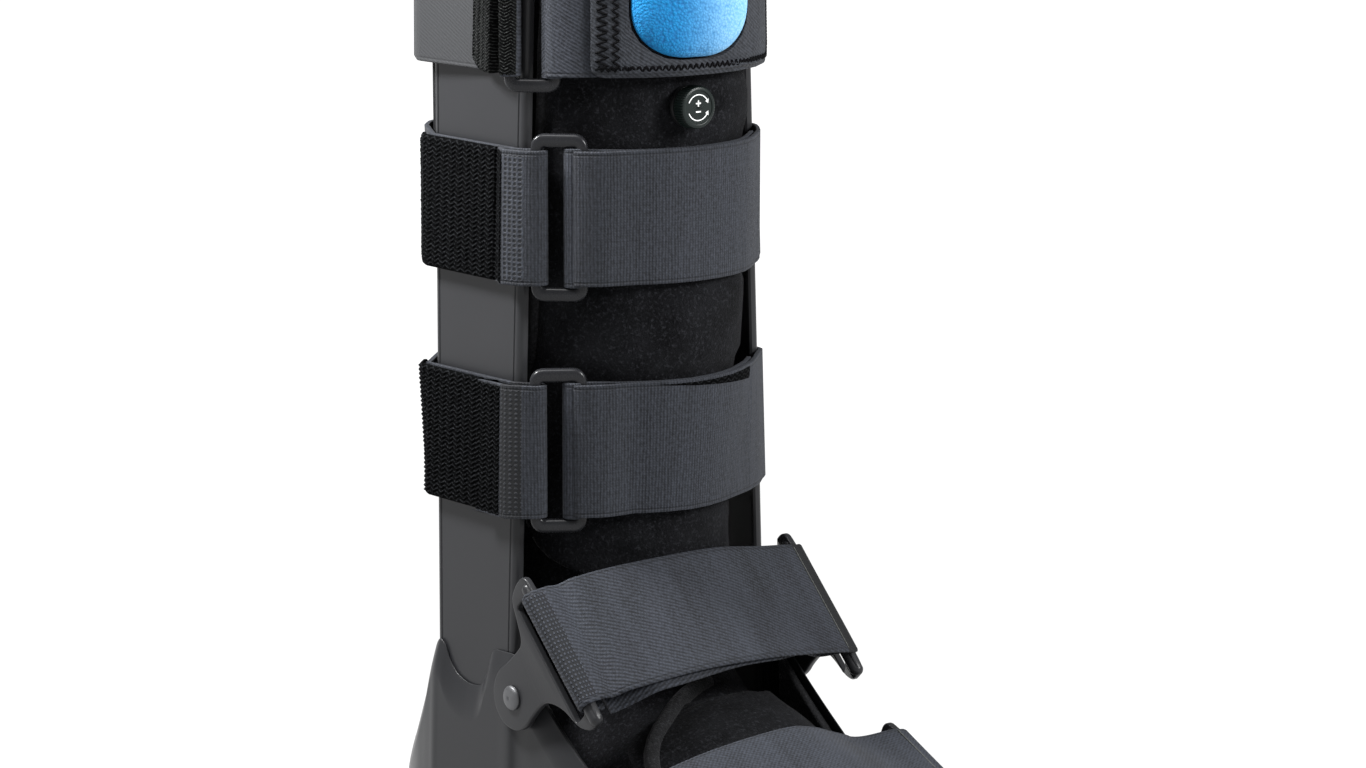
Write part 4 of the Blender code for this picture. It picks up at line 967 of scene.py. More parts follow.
class Skin:
    """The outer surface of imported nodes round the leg's axis.

    Triangles are sliced at level heights. At each height a ray leaves the axis at every angle,
    measured from the front towards +X, and the furthest crossing gives the radius.
    """

    def __init__(self, *names: str, levels: int = 20, angles: int = 1440) -> None:
        """Work out the table of radii.

        Args:
            names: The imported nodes.
            levels: How many heights are sliced.
            angles: How many rays leave the axis.
        """
        tris = node_triangles(*names)
        inside = 0.3 * MM
        self.heights = np.linspace(tris[..., 2].min() + inside, tris[..., 2].max() - inside,
                                   levels)
        self.angles = np.linspace(-np.pi, np.pi, angles)
        self.table = np.stack([self.slice(tris, z) for z in self.heights])
        middle = self.table[levels // 2, :, None]
        run = run_of(middle * joined(np.sin(self.angles), -np.cos(self.angles)))
        self.run = run - np.interp(0.0, self.angles, run)

    def slice(self, tris: Array, z: float) -> Array:
        """Return the radius at each angle at one height.

        Args:
            tris: The surface's triangles.
            z: The height.

        Returns:
            One radius for each of the skin's angles.
        """
        spots, crossing = level_cuts(tris, z)
        hit = crossing.sum(1) == 2
        order = np.argsort(~crossing[hit], axis=1, kind="stable")[:, :2]
        ends = np.take_along_axis(spots[hit], order[..., None], axis=1)[..., :2]
        start, edge = ends[:, 0], ends[:, 1] - ends[:, 0]
        ray = joined(np.sin(self.angles), -np.cos(self.angles))
        slant = ray[:, None, 0] * edge[None, :, 1] - ray[:, None, 1] * edge[None, :, 0]
        slant = np.where(np.abs(slant) < 1e-12, 1e-12, slant)
        reach = (start[:, 0] * edge[:, 1] - start[:, 1] * edge[:, 0])[None] / slant
        part = (start[None, :, 0] * ray[:, None, 1] - start[None, :, 1] * ray[:, None, 0]) / slant
        good = (part >= -1e-6) & (part <= 1.0 + 1e-6) & (reach > 0.0)
        best = np.where(good, reach, -1.0).max(1)
        return np.interp(self.angles, self.angles[best > 0.0], best[best > 0.0])

    def radius(self, angle: Array, z: Array) -> Array:
        """Return the radius at angles and heights, between the table's values.

        Args:
            angle: Angles about the leg's axis, 0 to the front.
            z: Heights.

        Returns:
            The radii, in the shape that the two share.
        """
        angle, z = np.broadcast_arrays(angle, z)
        rows, columns = len(self.heights), len(self.angles)
        a = np.clip((angle + np.pi) / TURN * (columns - 1), 0, columns - 1.001)
        h = np.clip((z - self.heights[0]) / (self.heights[-1] - self.heights[0]) * (rows - 1),
                    0, rows - 1.001)
        i, j = a.astype(int), h.astype(int)
        u, v = a - i, h - j
        t = self.table
        return ((t[j, i] * (1 - u) + t[j, i + 1] * u) * (1 - v)
                + (t[j + 1, i] * (1 - u) + t[j + 1, i + 1] * u) * v)

    def angle_at(self, run: Array) -> Array:
        """Return the angle at lengths along the surface from the front."""
        return np.interp(run, self.run, self.angles)

    def run_at(self, angle: Array) -> Array:
        """Return the length along the surface from the front at angles."""
        return np.interp(angle, self.angles, self.run)

    def spot(self, angle: Array, z: Array, lift: float | Array) -> Array:
        """Return points a lift outside the surface at angles and heights."""
        reach = self.radius(angle, z) + lift
        return joined(reach * np.sin(angle), -reach * np.cos(angle), z)


def wrap_cloth(piece: Piece, skin: Skin, low: float) -> None:
    """Give a piece cloth coordinates: the length round the leg and the height over its edge.

    The corners of a face all lie on the same turn as its first one.

    Args:
        piece: The piece.
        skin: The surface that the length is measured on.
        low: Height of the cloth's lower edge.
    """
    mesh = piece.data
    spots = points_of(mesh)[corners_of(mesh)]
    run = skin.run_at(angle_of(spots))
    total = skin.run[-1] - skin.run[0]
    starts, counts = np.empty((2, len(mesh.polygons)), np.int32)
    mesh.polygons.foreach_get("loop_start", starts)
    mesh.polygons.foreach_get("loop_total", counts)
    first = np.repeat(run[starts], counts)
    run = run - np.round((run - first) / total) * total
    layer = mesh.uv_layers.new(name="cloth")
    layer.data.foreach_set("uv", joined(run, spots[:, 2] - low).astype(np.float32).ravel())


# Shell and sole


@dataclass
class FootOutline:
    """The outline that the sole and the foot shell share.

    Each row gives y as a share of the heel's or the toe's reach, x as a share of the socket's
    distance, the wall's height as a share of the full height, and how much of the lean the wall
    has there.
    """

    half_spread: float = 57.0 * MM
    spread_height: float = 130.0 * MM
    lean: float = math.radians(1.8)
    thickness: float = 3.0 * MM
    wall: float = 3.2 * MM
    floor: float = 3.2 * MM
    height: float = 88.0 * MM
    heel: float = 80.0 * MM
    toe: float = 208.0 * MM
    sole: float = 30.0 * MM
    toe_spring: float = 10.0 * MM
    toe_rocker: float = 24.0 * MM
    heel_rocker: float = 8.0 * MM
    rocker_power: float = 1.8
    flat_front: float = 75.0 * MM
    flat_rear: float = 45.0 * MM
    gap: float = 0.3 * MM
    steps: int = 6
    rows: tuple[tuple[float, float, float, float], ...] = (
        (1.000, 0.000, 0.360, 0.0), (0.988, 0.216, 0.360, 0.0), (0.944, 0.432, 0.366, 0.1),
        (0.863, 0.610, 0.377, 0.2), (0.744, 0.756, 0.411, 0.4), (0.600, 0.864, 0.486, 0.6),
        (0.475, 0.931, 0.611, 0.8), (0.375, 0.966, 0.770, 0.9), (0.305, 0.986, 0.929, 1.0),
        (0.256, 1.000, 0.969, 1.0), (0.213, 1.000, 0.951, 1.0), (0.169, 1.000, 0.889, 1.0),
        (0.113, 1.000, 0.843, 1.0), (0.038, 1.000, 0.818, 1.0), (-0.015, 1.000, 0.815, 1.0),
        (-0.036, 1.000, 0.832, 1.0), (-0.050, 1.000, 0.884, 1.0), (-0.060, 1.000, 0.952, 1.0),
        (-0.072, 1.000, 0.993, 1.0), (-0.101, 1.000, 1.000, 1.0), (-0.135, 1.000, 1.000, 1.0),
        (-0.152, 0.978, 0.986, 1.0), (-0.192, 0.975, 0.872, 1.0), (-0.243, 0.969, 0.765, 1.0),
        (-0.293, 0.963, 0.672, 0.9), (-0.346, 0.954, 0.583, 0.8), (-0.413, 0.938, 0.483, 0.6),
        (-0.481, 0.920, 0.411, 0.4), (-0.534, 0.909, 0.349, 0.3), (-0.596, 0.898, 0.281, 0.2),
        (-0.663, 0.883, 0.219, 0.1), (-0.731, 0.852, 0.178, 0.0), (-0.798, 0.795, 0.156, 0.0),
        (-0.865, 0.695, 0.140, 0.0), (-0.923, 0.556, 0.128, 0.0), (-0.966, 0.370, 0.120, 0.0),
        (-0.993, 0.170, 0.114, 0.0), (-1.000, 0.000, 0.112, 0.0))

    @property
    def reference(self) -> float:
        """Return the height at which a leaning wall stands on the outline."""
        return float(self.base(np.array(0.0))) + 0.85 * self.height

    def upright_outer(self, z: Array | float) -> Array | float:
        """Return the distance of an upright's outer face from the middle plane."""
        return self.half_spread + self.thickness - math.tan(self.lean) * (z - self.spread_height)

    def sole_top(self, y: Array) -> Array:
        """Return the height of the sole's top: flat, then rising with the square to the toe."""
        ahead = np.maximum(0.0, -y - self.flat_front) / (self.toe - self.flat_front)
        return self.sole + self.toe_spring * ahead ** 2

    def sole_bottom(self, y: Array) -> Array:
        """Return the height of the rocker: flat, rising with its power at toe and heel.

        Args:
            y: Places along the foot.

        Returns:
            The heights.
        """
        ahead = np.clip((-y - self.flat_front) / (self.toe - self.flat_front), 0.0, 1.0)
        behind = np.clip((y - self.flat_rear) / (self.heel - self.flat_rear), 0.0, 1.0)
        return (self.toe_rocker * ahead ** self.rocker_power
                + self.heel_rocker * behind ** self.rocker_power)

    def base(self, y: Array) -> Array:
        """Return the height of the shell's underside."""
        return self.sole_top(y) + self.gap

    def loop(self, inset: float = 0.0) -> Array:
        """Return the outline as rows of x, y, wall top and lean, moved inwards by an inset.

        Args:
            inset: How far inside the outline the rows lie.

        Returns:
            One row for each point of the closed outline.
        """
        rows = np.array(self.rows)
        mirror = np.array([1.0, -1.0, 1.0, 1.0])
        fine = flowing(rows, self.steps, rows[1:2] * mirror, rows[-2:-1] * mirror)
        socket = self.upright_outer(self.reference) + self.gap + self.wall
        y = fine[:, 0] * np.where(fine[:, 0] > 0.0, self.heel, self.toe)
        side = joined(-np.abs(fine[:, 1]) * socket, y, self.base(y) + fine[:, 2] * self.height,
                      np.clip(fine[:, 3], 0.0, 1.0))
        around = np.vstack([side, side[-2:0:-1] * np.array([-1.0, 1.0, 1.0, 1.0])])
        along = unit(np.roll(around[:, :2], -1, 0) - np.roll(around[:, :2], 1, 0))
        around[:, 0] -= along[:, 1] * inset
        around[:, 1] += along[:, 0] * inset
        return around

    def ring(self, inset: float, z: Array | None = None, below_top: float = 0.0,
             squeeze: float = 1.0) -> Array:
        """Return one closed ring of points at an inset, leaning outwards below the reference.

        Args:
            inset: How far inside the outline it runs.
            z: Its heights, or None to keep below the wall's top.
            below_top: How far below the wall's top it then is.
            squeeze: Share of x that is kept, for a floor.

        Returns:
            The points, n by 3.
        """
        x, y, top, lean = self.loop(inset).T
        height = top - below_top if z is None else z
        out = np.sign(x) * lean * math.tan(self.lean) * (self.reference - height)
        return joined((x + out) * squeeze, y, height)


@dataclass
class FootShell:
    """The moulded foot tray with heel cup, ankle sockets and sloping side walls, and its sole."""

    outline: FootOutline
    finish: Material
    rubber: Material
    foot: float = 1.2 * MM
    edge: float = 0.4 * MM
    rim: float = 0.7 * MM
    lean_in: float = 13.0 * MM
    lean_power: float = 1.4
    corner: float = 3.0 * MM
    lip: float = 1.5 * MM
    shoulder: float = 2.0 * MM
    fillet: float = 0.4 * MM
    rim_inset: float = 1.6 * MM
    merge: float = 4e-6

    def build(self) -> None:
        """Make the shell and the sole below it.

        The wall's section is carried round the outline: up the outer face, which leans in with
        a power of the share of its last stretch, over a rim that is half an ellipse, and down
        the inner face to the floor. The first and last ring are folded flat and close it.
        """
        o = self.outline
        plan = o.loop()
        top, base = plan[:, 2], o.base(plan[:, 1])
        floor, wall, half = base + o.floor, o.wall, self.rim / 2
        # Inset and height over the base in millimetres, and squeeze, of the rings underneath
        rings = [o.ring(inset * MM, base + rise * MM, squeeze=squeeze) for inset, rise, squeeze in (
            (2.5, 0.0, 0.0), (2.5, 0.0, 0.5), (1.2, 0.0, 1.0), (0.35, 0.35, 1.0))]
        rings += [o.ring(0.0, base + self.foot)]
        tall = top - base - self.lean_in - self.shoulder
        rings += [o.ring(0.0, base + self.foot + tall * share) for share in (0.3, 0.65, 1.0)]
        rings += [o.ring((wall - self.rim) * share ** self.lean_power,
                         below_top=self.lean_in * (1.0 - share) + self.edge)
                  for share in np.linspace(0.0, 1.0, 7)]
        rings += [o.ring(wall - half - half * math.cos(turn),
                         below_top=self.edge * (1.0 - math.sin(turn)))
                  for turn in np.linspace(0.0, np.pi, 9)[1:]]
        rings += [o.ring(wall, floor + (top - self.edge - floor) * share)
                  for share in (0.66, 0.33, 0.03)]
        rings += [o.ring(wall + self.fillet, floor)]
        rings += [o.ring(wall + self.corner, floor, squeeze=share) for share in (1.0, 0.5, 0.0)]
        shell = new_piece("shell_body", np.stack(rings), sharp=38.0, merge=self.merge)
        fit(shell, self.finish, "shell_plastic", "foot_shell")
        self.build_sole()

    def build_sole(self) -> None:
        """Make the sole: a rocker underside, a groove round the waist and a rim."""
        o = self.outline
        y = o.loop(-self.lip)[:, 1]
        low, high = o.sole_bottom(y), o.sole_top(y)
        rings = []
        # Inset in millimetres and squeeze of the rings underneath
        for inset, squeeze in ((5.0, 0.0), (5.0, 0.35), (5.0, 0.7), (5.0, 0.94), (3.4, 1.0)):
            ring = o.ring(inset * MM - self.lip, low, squeeze=squeeze)
            ring[:, 2] = o.sole_bottom(ring[:, 1])
            rings.append(ring)
        # Inset in millimetres and height of the rings at the side
        sides = [(1.0, low + 1.1 * MM), (0.0, low + 3.2 * MM)]
        sides += [(inset, low + (high - low) * share) for inset, share in (
            (0.0, 0.45), (0.8, 0.49), (0.8, 0.54), (0.0, 0.58), (0.0, 0.90))]
        sides += [(0.3, high - 0.5 * MM), (1.0, high)]
        rings += [o.ring(inset * MM - self.lip, level) for inset, level in sides]
        rings += [o.ring(self.rim_inset - self.lip, high, squeeze=share)
                  for share in (0.9, 0.5, 0.0)]
        sole = new_piece("sole_body", np.stack(rings), sharp=34.0, merge=self.merge)
        fit(sole, self.rubber, "sole_rubber", "outsole")


@dataclass
class Upright:
    """One side upright: a plate with both edges turned inwards and a rounded top."""

    word: str
    side: float
    outline: FootOutline
    finish: Material
    front: float = 26.0 * MM
    rear_low: float = 20.0 * MM
    rear_high: float = 36.0 * MM
    top: float = 418.0 * MM
    corner: float = 2.4 * MM
    flange: float = 1.3 * MM
    hollow: float = 0.5 * MM
    crown: float = 16.0 * MM
    bead: float = 0.35 * MM
    tip_round: float = 0.7 * MM
    groove: tuple[float, ...] = (2.8 * MM, 3.1 * MM, 3.6 * MM, 3.9 * MM)
    steps: int = 23

    def section(self) -> tuple[Array, Array]:
        """Return each section point's offset from the outer face and from its edge.

        The outer face turns each edge on a quarter circle of the corner radius. A fine groove
        runs behind each rounded edge. The rear half mirrors the front one.

        Returns:
            The offsets from the face and those from the edge.
        """
        t = np.linspace(0.0, QUARTER, 10)
        r, hollow, small = self.corner, self.hollow, self.tip_round
        thick = self.outline.thickness
        tip = -thick - self.flange
        arc = joined(-r + r * np.sin(t), r - r * np.cos(t))
        inner = joined(-thick - hollow + hollow * np.sin(t), thick + hollow - hollow * np.cos(t))
        ends = joined([tip + small, tip, tip, tip + small], [0.0, small, thick - small, thick])
        line = joined([0.0, -self.bead, -self.bead, 0.0], self.groove)
        half = np.vstack([inner[::-1], ends[::-1], arc, line])
        return tuple(np.vstack([half, half[::-1] * [1.0, -1.0]]).T)

    def build(self) -> None:
        """Make the upright: its section carried up the leaning plane, narrowed at the crown."""
        o = self.outline
        foot = float(o.base(np.array(0.0))) + o.floor + o.gap
        turn = np.linspace(0.0, QUARTER * 0.97, 14)
        shoulder = self.top - self.crown
        z = np.concatenate([np.linspace(foot, shoulder, self.steps, endpoint=False),
                            shoulder + self.crown * np.sin(turn)])
        drop = np.concatenate([np.zeros(self.steps), self.crown * (1.0 - np.cos(turn))])
        share = (z - o.spread_height) / (self.top - o.spread_height)
        rear = self.rear_low + (self.rear_high - self.rear_low) * (share + 0.33) / 1.33 - drop
        dx, dy = self.section()
        ahead = np.arange(len(dx)) < len(dx) // 2
        y = np.where(ahead, (drop - self.front)[:, None], rear[:, None]) + dy
        x = self.side * (o.upright_outer(z)[:, None] + dx)
        piece = new_piece("upright_body_" + self.word, joined(x, y, z[:, None]),
                          stack_faces(len(z), len(dx)), sharp=38.0, cut=True)
        fit(piece, self.finish, "shell_plastic", "upright_" + self.word)


# Liner


@dataclass
class Padding:
    """How far a padded piece may swell, and where it is held flat.

    The bands are held between two heights, and the front also round places given as x, z and
    radius.
    """

    reach: float
    back_reach: float
    bands: tuple[Pair, ...] = ()
    clear_of: tuple[tuple[float, float, float], ...] = ()
    band_ease: float = 7.0 * MM
    clear_ease: float = 9.0 * MM

    def share(self, points: Array) -> Array:
        """Return how freely each point may move: 0 under a strap, 1 well clear of one.

        Args:
            points: The points at rest.

        Returns:
            One share for each point.
        """
        x, y, z = points.T
        free = np.ones(len(points))
        for low, high in self.bands:
            free *= 1.0 - (smooth(low - self.band_ease, low, z)
                           * (1.0 - smooth(high, high + self.band_ease, z)))
        for middle_x, middle_z, radius in self.clear_of:
            away = np.hypot(x - middle_x, z - middle_z)
            free *= np.where(y < 0.0, smooth(radius, radius + self.clear_ease, away), 1.0)
        return free


@dataclass
class Liner:
    """The padded liner boot and its two overlapping flaps.

    The vamp edge lists points in millimetres on the foot flap's near edge.
    """

    pile: Material
    edge_pile: Material
    straps: tuple[Pair, ...]
    valve: Pair
    frames: int = 20
    ankle: float = 110.0 * MM
    leg_y: float = 5.0 * MM
    foot_z: float = 58.0 * MM
    valve_clear: float = 11.0 * MM
    crease: float = 0.45
    pad_round: float = 1.2 * MM
    tongue_tube: float = 2.2 * MM
    vamp_tube: float = 3.1 * MM
    vamp_edge: tuple[tuple[float, float, float], ...] = (
        (5.0, -60.0, 104.6), (-3.0, -62.0, 103.4), (-9.5, -64.5, 101.8), (-17.6, -69.8, 101.2),
        (-25.1, -73.9, 97.4), (-30.2, -76.2, 94.5), (-34.9, -78.7, 91.6), (-38.9, -82.0, 88.0),
        (-41.6, -86.1, 84.4), (-43.8, -91.4, 80.6), (-45.5, -97.7, 76.9), (-46.8, -103.5, 73.5))

    def puff(self, piece: Piece, pad: Padding) -> None:
        """Swell a closed piece with a short cloth run, then hold it within its limits.

        A point's move is capped, multiplied by the padding's share at its place, and less on
        the side that faces the leg's or the foot's middle line.

        Args:
            piece: The closed piece.
            pad: How much it swells, and where.
        """
        start, normals = points_of(piece.data), points_of(piece.data, "normal")
        mod = piece.modifiers.new("cloth", "CLOTH")
        put(mod.settings, quality=4, mass=0.3, tension_stiffness=12.0,
            compression_stiffness=12.0, bending_stiffness=0.3, use_pressure=True,
            uniform_pressure_force=4.0)
        mod.settings.effector_weights.gravity = 0.0
        put(mod.point_cache, frame_start=1, frame_end=self.frames)
        scene = bpy.context.scene
        for number in range(1, self.frames + 1):
            scene.frame_set(number)
        graph = bpy.context.evaluated_depsgraph_get()
        move = points_of(piece.evaluated_get(graph).data) - start
        piece.modifiers.clear()
        scene.frame_set(1)
        _x, y, z = start.T
        middle = np.where(z[:, None] > self.ankle, joined(0.0, self.leg_y, z),
                          joined(0.0, y, self.foot_z))
        outward = np.einsum("ij,ij->i", normals, start - middle) > 0.0
        cap = np.where(outward, pad.reach, pad.back_reach)
        length = np.linalg.norm(move, axis=1) + 1e-9
        scale = np.minimum(1.0, cap / length) * pad.share(start)
        move_points(piece, start + move * scale[:, None])

    def build(self) -> None:
        """Make the liner boot, the front flap, the flap over the foot and the edge padding."""
        boot = Padding(2.0 * MM, 2.5 * MM, self.straps + ((0.0, 0.130),))
        front = Padding(2.4 * MM, 0.4 * MM, self.straps, ((*self.valve, self.valve_clear),))
        foot = Padding(1.8 * MM, 0.4 * MM, ((0.0, 0.066),))
        for node, name, pad, room in (("liner", "liner_boot", boot, 0.6),
                                      ("liner_front_flap", "liner_tongue", front, 0.5),
                                      ("liner_foot_flap", "liner_vamp", foot, 0.5)):
            piece = node_copy(node, name, quads=True, sharp=180.0)
            if pad is not boot:
                self.hold_edges(piece)
            subdivide(piece)
            bake(piece)
            self.puff(piece, pad)
            fit(piece, self.pile, "liner_pile", node)
        self.build_bindings()
        for word, _side in SIDES:
            edge = node_copy("shell_pad_" + word, "shell_padding_" + word, quads=True)
            bevel(edge, self.pad_round, 3, 40.0)
            fit(edge, self.edge_pile, "liner_pile", "shell_pad_" + word)

    def hold_edges(self, piece: Piece) -> None:
        """Crease the rim of a flap a little, so that subdivision keeps its thickness.

        Args:
            piece: The flap.
        """
        work = bmesh.new()
        work.from_mesh(piece.data)
        creases = work.edges.layers.float
        layer = creases.get("crease_edge") or creases.new("crease_edge")
        for edge in work.edges:
            if len(edge.link_faces) == 2 and edge.calc_face_angle(0.0) > math.radians(50.0):
                edge[layer] = self.crease
        work.to_mesh(piece.data)
        work.free()

    def build_bindings(self) -> None:
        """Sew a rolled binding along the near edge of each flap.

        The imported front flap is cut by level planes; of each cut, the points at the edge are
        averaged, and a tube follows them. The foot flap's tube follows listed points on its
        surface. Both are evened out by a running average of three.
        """
        tris = node_triangles("liner_front_flap")
        inside, near = 0.4 * MM, 0.035
        spots = []
        for level in np.linspace(tris[..., 2].min() + inside, tris[..., 2].max() - inside, 90):
            places, crossing = level_cuts(tris, level)
            cut = places[crossing]
            angle = angle_of(cut)
            spots.append(cut[angle < angle.min() + near].mean(0))
        vamp = np.array(self.vamp_edge) * MM
        steps = np.linspace(0.0, len(vamp) - 1.0, 70)
        vamp = joined(*(np.interp(steps, np.arange(len(vamp)), part) for part in vamp.T))
        for name, path, radius, passes in (
                ("tongue_binding", np.array(spots), self.tongue_tube, 3),
                ("vamp_binding", vamp, self.vamp_tube, 30)):
            for _pass in range(passes):
                path[1:-1] = 0.25 * path[:-2] + 0.5 * path[1:-1] + 0.25 * path[2:]
            fit(tube(name, path, radius, 14), self.edge_pile, "liner_pile")


# Calf straps


def rounded(width: float, height: float, radius: float, per: int, side: int) -> Array:
    """Return a rounded rectangle: four quarter circles joined by straight sides.

    Args:
        width: Its width.
        height: Its height.
        radius: The corners' radius.
        per: Points of each quarter circle.
        side: Points of each straight side, with its two ends.

    Returns:
        The points, n by 2.
    """
    t = np.linspace(0.0, QUARTER, per)
    parts = [joined(x * (width / 2 - radius) + radius * np.cos(t + k * QUARTER),
                    y * (height / 2 - radius) + radius * np.sin(t + k * QUARTER))
             for k, (x, y) in enumerate(((1, 1), (-1, 1), (-1, -1), (1, -1)))]
    around = []
    for part, after in zip(parts, parts[1:] + parts[:1]):
        around += [part, np.linspace(part[-1], after[0], side)[1:-1]]
    return np.vstack(around)


@dataclass
class CalfStrap:
    """One calf strap with its hook tab, its rectangular ring and the webbing folded round it.

    Pile, flare start and flare end are stretches along the strap from the front of the leg.
    """

    tag: str
    finish: Webbing
    hook: HookTape
    ring: Material
    pile: Pair
    fold: float = 3.0 * MM
    flare: float = 0.0
    flare_start: Pair = (126.0 * MM, 146.0 * MM)
    flare_end: Pair = (160.0 * MM, 190.0 * MM)
    ring_bar: float = 4.0 * MM
    ring_cross_bar: float = 5.2 * MM
    ring_corner: float = 5.0 * MM
    ring_inner_corner: float = 1.2 * MM
    fold_wide: float = 4.0 * MM
    fold_thick: float = 2.9 * MM
    corner: float = 7.0 * MM
    wave: float = 0.62 * MM
    fade: float = 1.2 * MM
    margin: float = 0.25 * MM
    under: float = 1.1 * MM
    grid: tuple[int, int] = (150, 260)
    edge_round: float = 0.45 * MM
    pile_gap: float = 0.2 * MM
    average: float = 4.0 * MM
    edge_drop: float = 0.35 * MM
    fold_gap: float = 0.3 * MM
    wedge_drop: float = 1.0 * MM
    wedge_start: float = 0.12 * MM
    wedge_lift: float = 0.22 * MM
    wedge_crown: float = 0.15 * MM
    wedge_under: float = 0.4 * MM
    skin: Skin = field(init=False)

    def __post_init__(self) -> None:
        """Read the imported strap's surface."""
        self.node = "calf_strap_" + self.tag
        self.skin = Skin(self.node)
        low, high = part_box(self.node)
        self.low, self.high = low.z, high.z

    def build(self) -> None:
        """Make the strap, the tab, the ring and the fold round its front bar."""
        piece = node_copy(self.node, "calf_webbing_" + self.tag, flat=0.5, sharp=40.0)
        wrap_cloth(piece, self.skin, self.low)
        self.stand_off(piece)
        bevel(piece, self.edge_round, 2, 45.0)
        fit(piece, piece_finish(self.finish), "webbing", self.node)
        self.build_tab()
        self.build_ring()

    def stand_off(self, piece: Piece) -> None:
        """Push the strap out behind its tab, by the flare times an eased share of the run.

        Args:
            piece: The strap.
        """
        spots = points_of(piece.data)
        run = -self.skin.run_at(angle_of(spots))
        push = self.flare * smooth(*self.flare_start, run) * (1.0 - smooth(*self.flare_end, run))
        spots[:, :2] += unit(spots[:, :2]) * push[:, None]
        move_points(piece, spots)

    def build_tab(self) -> None:
        """Make the hook tab: a pile in zigzag rows on a backing with rounded corners.

        The radius under the pile is the skin's, averaged over 4 mm. The rows stand the wave
        high, uneven by a seeded noise, and fade out at every edge.
        """
        node = "calf_tab_" + self.tag
        rows, columns = self.grid
        run = np.linspace(self.pile[0] + self.pile_gap, self.pile[1], columns)
        far = run - run[0]
        bite = np.maximum(0.0, self.corner ** 2 - (self.corner - far) ** 2)
        curve = np.where(far < self.corner, self.corner - np.sqrt(bite), 0.0)
        share = np.linspace(0.0, 1.0, rows)[:, None]
        low, high = self.low + self.margin + curve, self.high - self.margin - curve
        z = low + (high - low) * share
        angle = np.broadcast_to(self.skin.angle_at(run), z.shape)
        reach = Skin(self.node, node).radius(angle, z)

        span = max(3, int(self.average / (run[1] - run[0])) | 1)
        kernel = np.hanning(span + 2)[1:-1]
        spread = np.pad(reach, ((0, 0), (span // 2, span // 2)), mode="edge")
        even = sum(k * spread[:, i:i + columns] for i, k in enumerate(kernel / kernel.sum()))
        lanes = self.hook.lanes(run, z - self.low, lambda v: v % 1.0)
        wave = np.sin(lanes * TURN) * 0.5 + 0.5
        rough = np.random.default_rng(11).random(z.shape)
        rough = 0.25 * (rough + np.roll(rough, 1, 0) + np.roll(rough, 1, 1)
                        + np.roll(rough, (1, 1), (0, 1)))
        edge = np.minimum(np.minimum(far, run[-1] - run), np.minimum(z - low, high - z))
        soft = np.clip(edge / self.fade, 0.0, 1.0)
        height = self.wave * (0.15 + wave * (0.45 + 0.9 * rough)) * soft

        top = np.maximum(reach, even) + height - self.edge_drop * (1.0 - soft) ** 2
        front, back = (joined(r * np.sin(angle), -r * np.cos(angle), z)
                       for r in (top, reach - self.under))
        piece = slab("hook_pile_" + self.tag, front, back, joined(run, z - self.low), 60.0)
        fit(piece, piece_finish(self.hook), "hook_tape", node)

    def build_ring(self) -> None:
        """Make the ring: a rounded bar carried round a rounded rectangle.

        Each section lies between the inner and outer outline as a superellipse of power 3.
        """
        node = "calf_ring_" + self.tag
        spots = np.unique(np.round(node_triangles(node).reshape(-1, 3), 7), axis=0)
        middle = spots.mean(0)
        _u, _s, (up, _right, out) = np.linalg.svd(spots - middle, full_matrices=False)
        up = up * np.sign(up[2])
        out = out * np.sign(out @ middle)
        right = np.cross(up, out)
        flat = spots @ joined(right, up, out)
        middle = 0.5 * (flat.min(0) + flat.max(0)) @ np.stack([right, up, out])
        wide, tall, thick = flat.max(0) - flat.min(0)
        gap = tall - 2 * self.ring_cross_bar
        outer = rounded(wide, tall, self.ring_corner, 9, 6)
        inner = rounded(wide - 2 * self.ring_bar, gap, self.ring_inner_corner, 9, 6)
        turn = circle(20)
        lean, rise = (np.sign(f(turn)) * np.abs(f(turn)) ** (2 / 3) for f in (np.cos, np.sin))
        plane = (0.5 * (outer + inner)[:, None]
                 + 0.5 * (outer - inner)[:, None] * lean[None, :, None])
        points = (middle + plane[..., 0:1] * right + plane[..., 1:2] * up
                  + rise[None, :, None] * thick / 2 * out)
        piece = new_piece("strap_ring_" + self.tag, points,
                          grid_faces(len(outer), len(turn), True, True), sharp=50.0)
        fit(piece, self.ring, "ring_plastic", node)
        bar = middle + right * (0.5 * wide - 0.5 * self.ring_bar - self.fold)
        self.build_fold(bar, right, up, out, gap - self.fold_gap)

    def build_fold(self, middle: Array, right: Array, up: Array, out: Array,
                   tall: float) -> None:
        """Make the webbing that turns round the ring's front bar: ellipses along the bar.

        Args:
            middle: The fold's middle.
            right: Direction towards the front of the leg.
            up: Direction along the bar.
            out: Direction away from the leg.
            tall: The fold's length.
        """
        share = np.concatenate([[0.0, 0.0, 0.006], np.linspace(0.03, 0.97, 20), [0.994, 1.0, 1.0]])
        scale = np.concatenate([[0.0, 0.86, 1.0], np.ones(20), [1.0, 0.86, 0.0]])[:, None, None]
        turn = np.linspace(0.0, TURN, 33)
        wide, thick = self.fold_wide, self.fold_thick
        points = (middle + ((share - 0.5) * tall)[:, None, None] * up
                  + wide * scale * np.cos(turn)[:, None] * right
                  + thick * scale * np.sin(turn)[:, None] * out)
        piece = new_piece("calf_fold_" + self.tag, points, grid_faces(len(share), len(turn)),
                          joined(turn * wide, share[:, None] * self.finish.width), sharp=50.0)
        fit(piece, piece_finish(self.finish), "webbing")

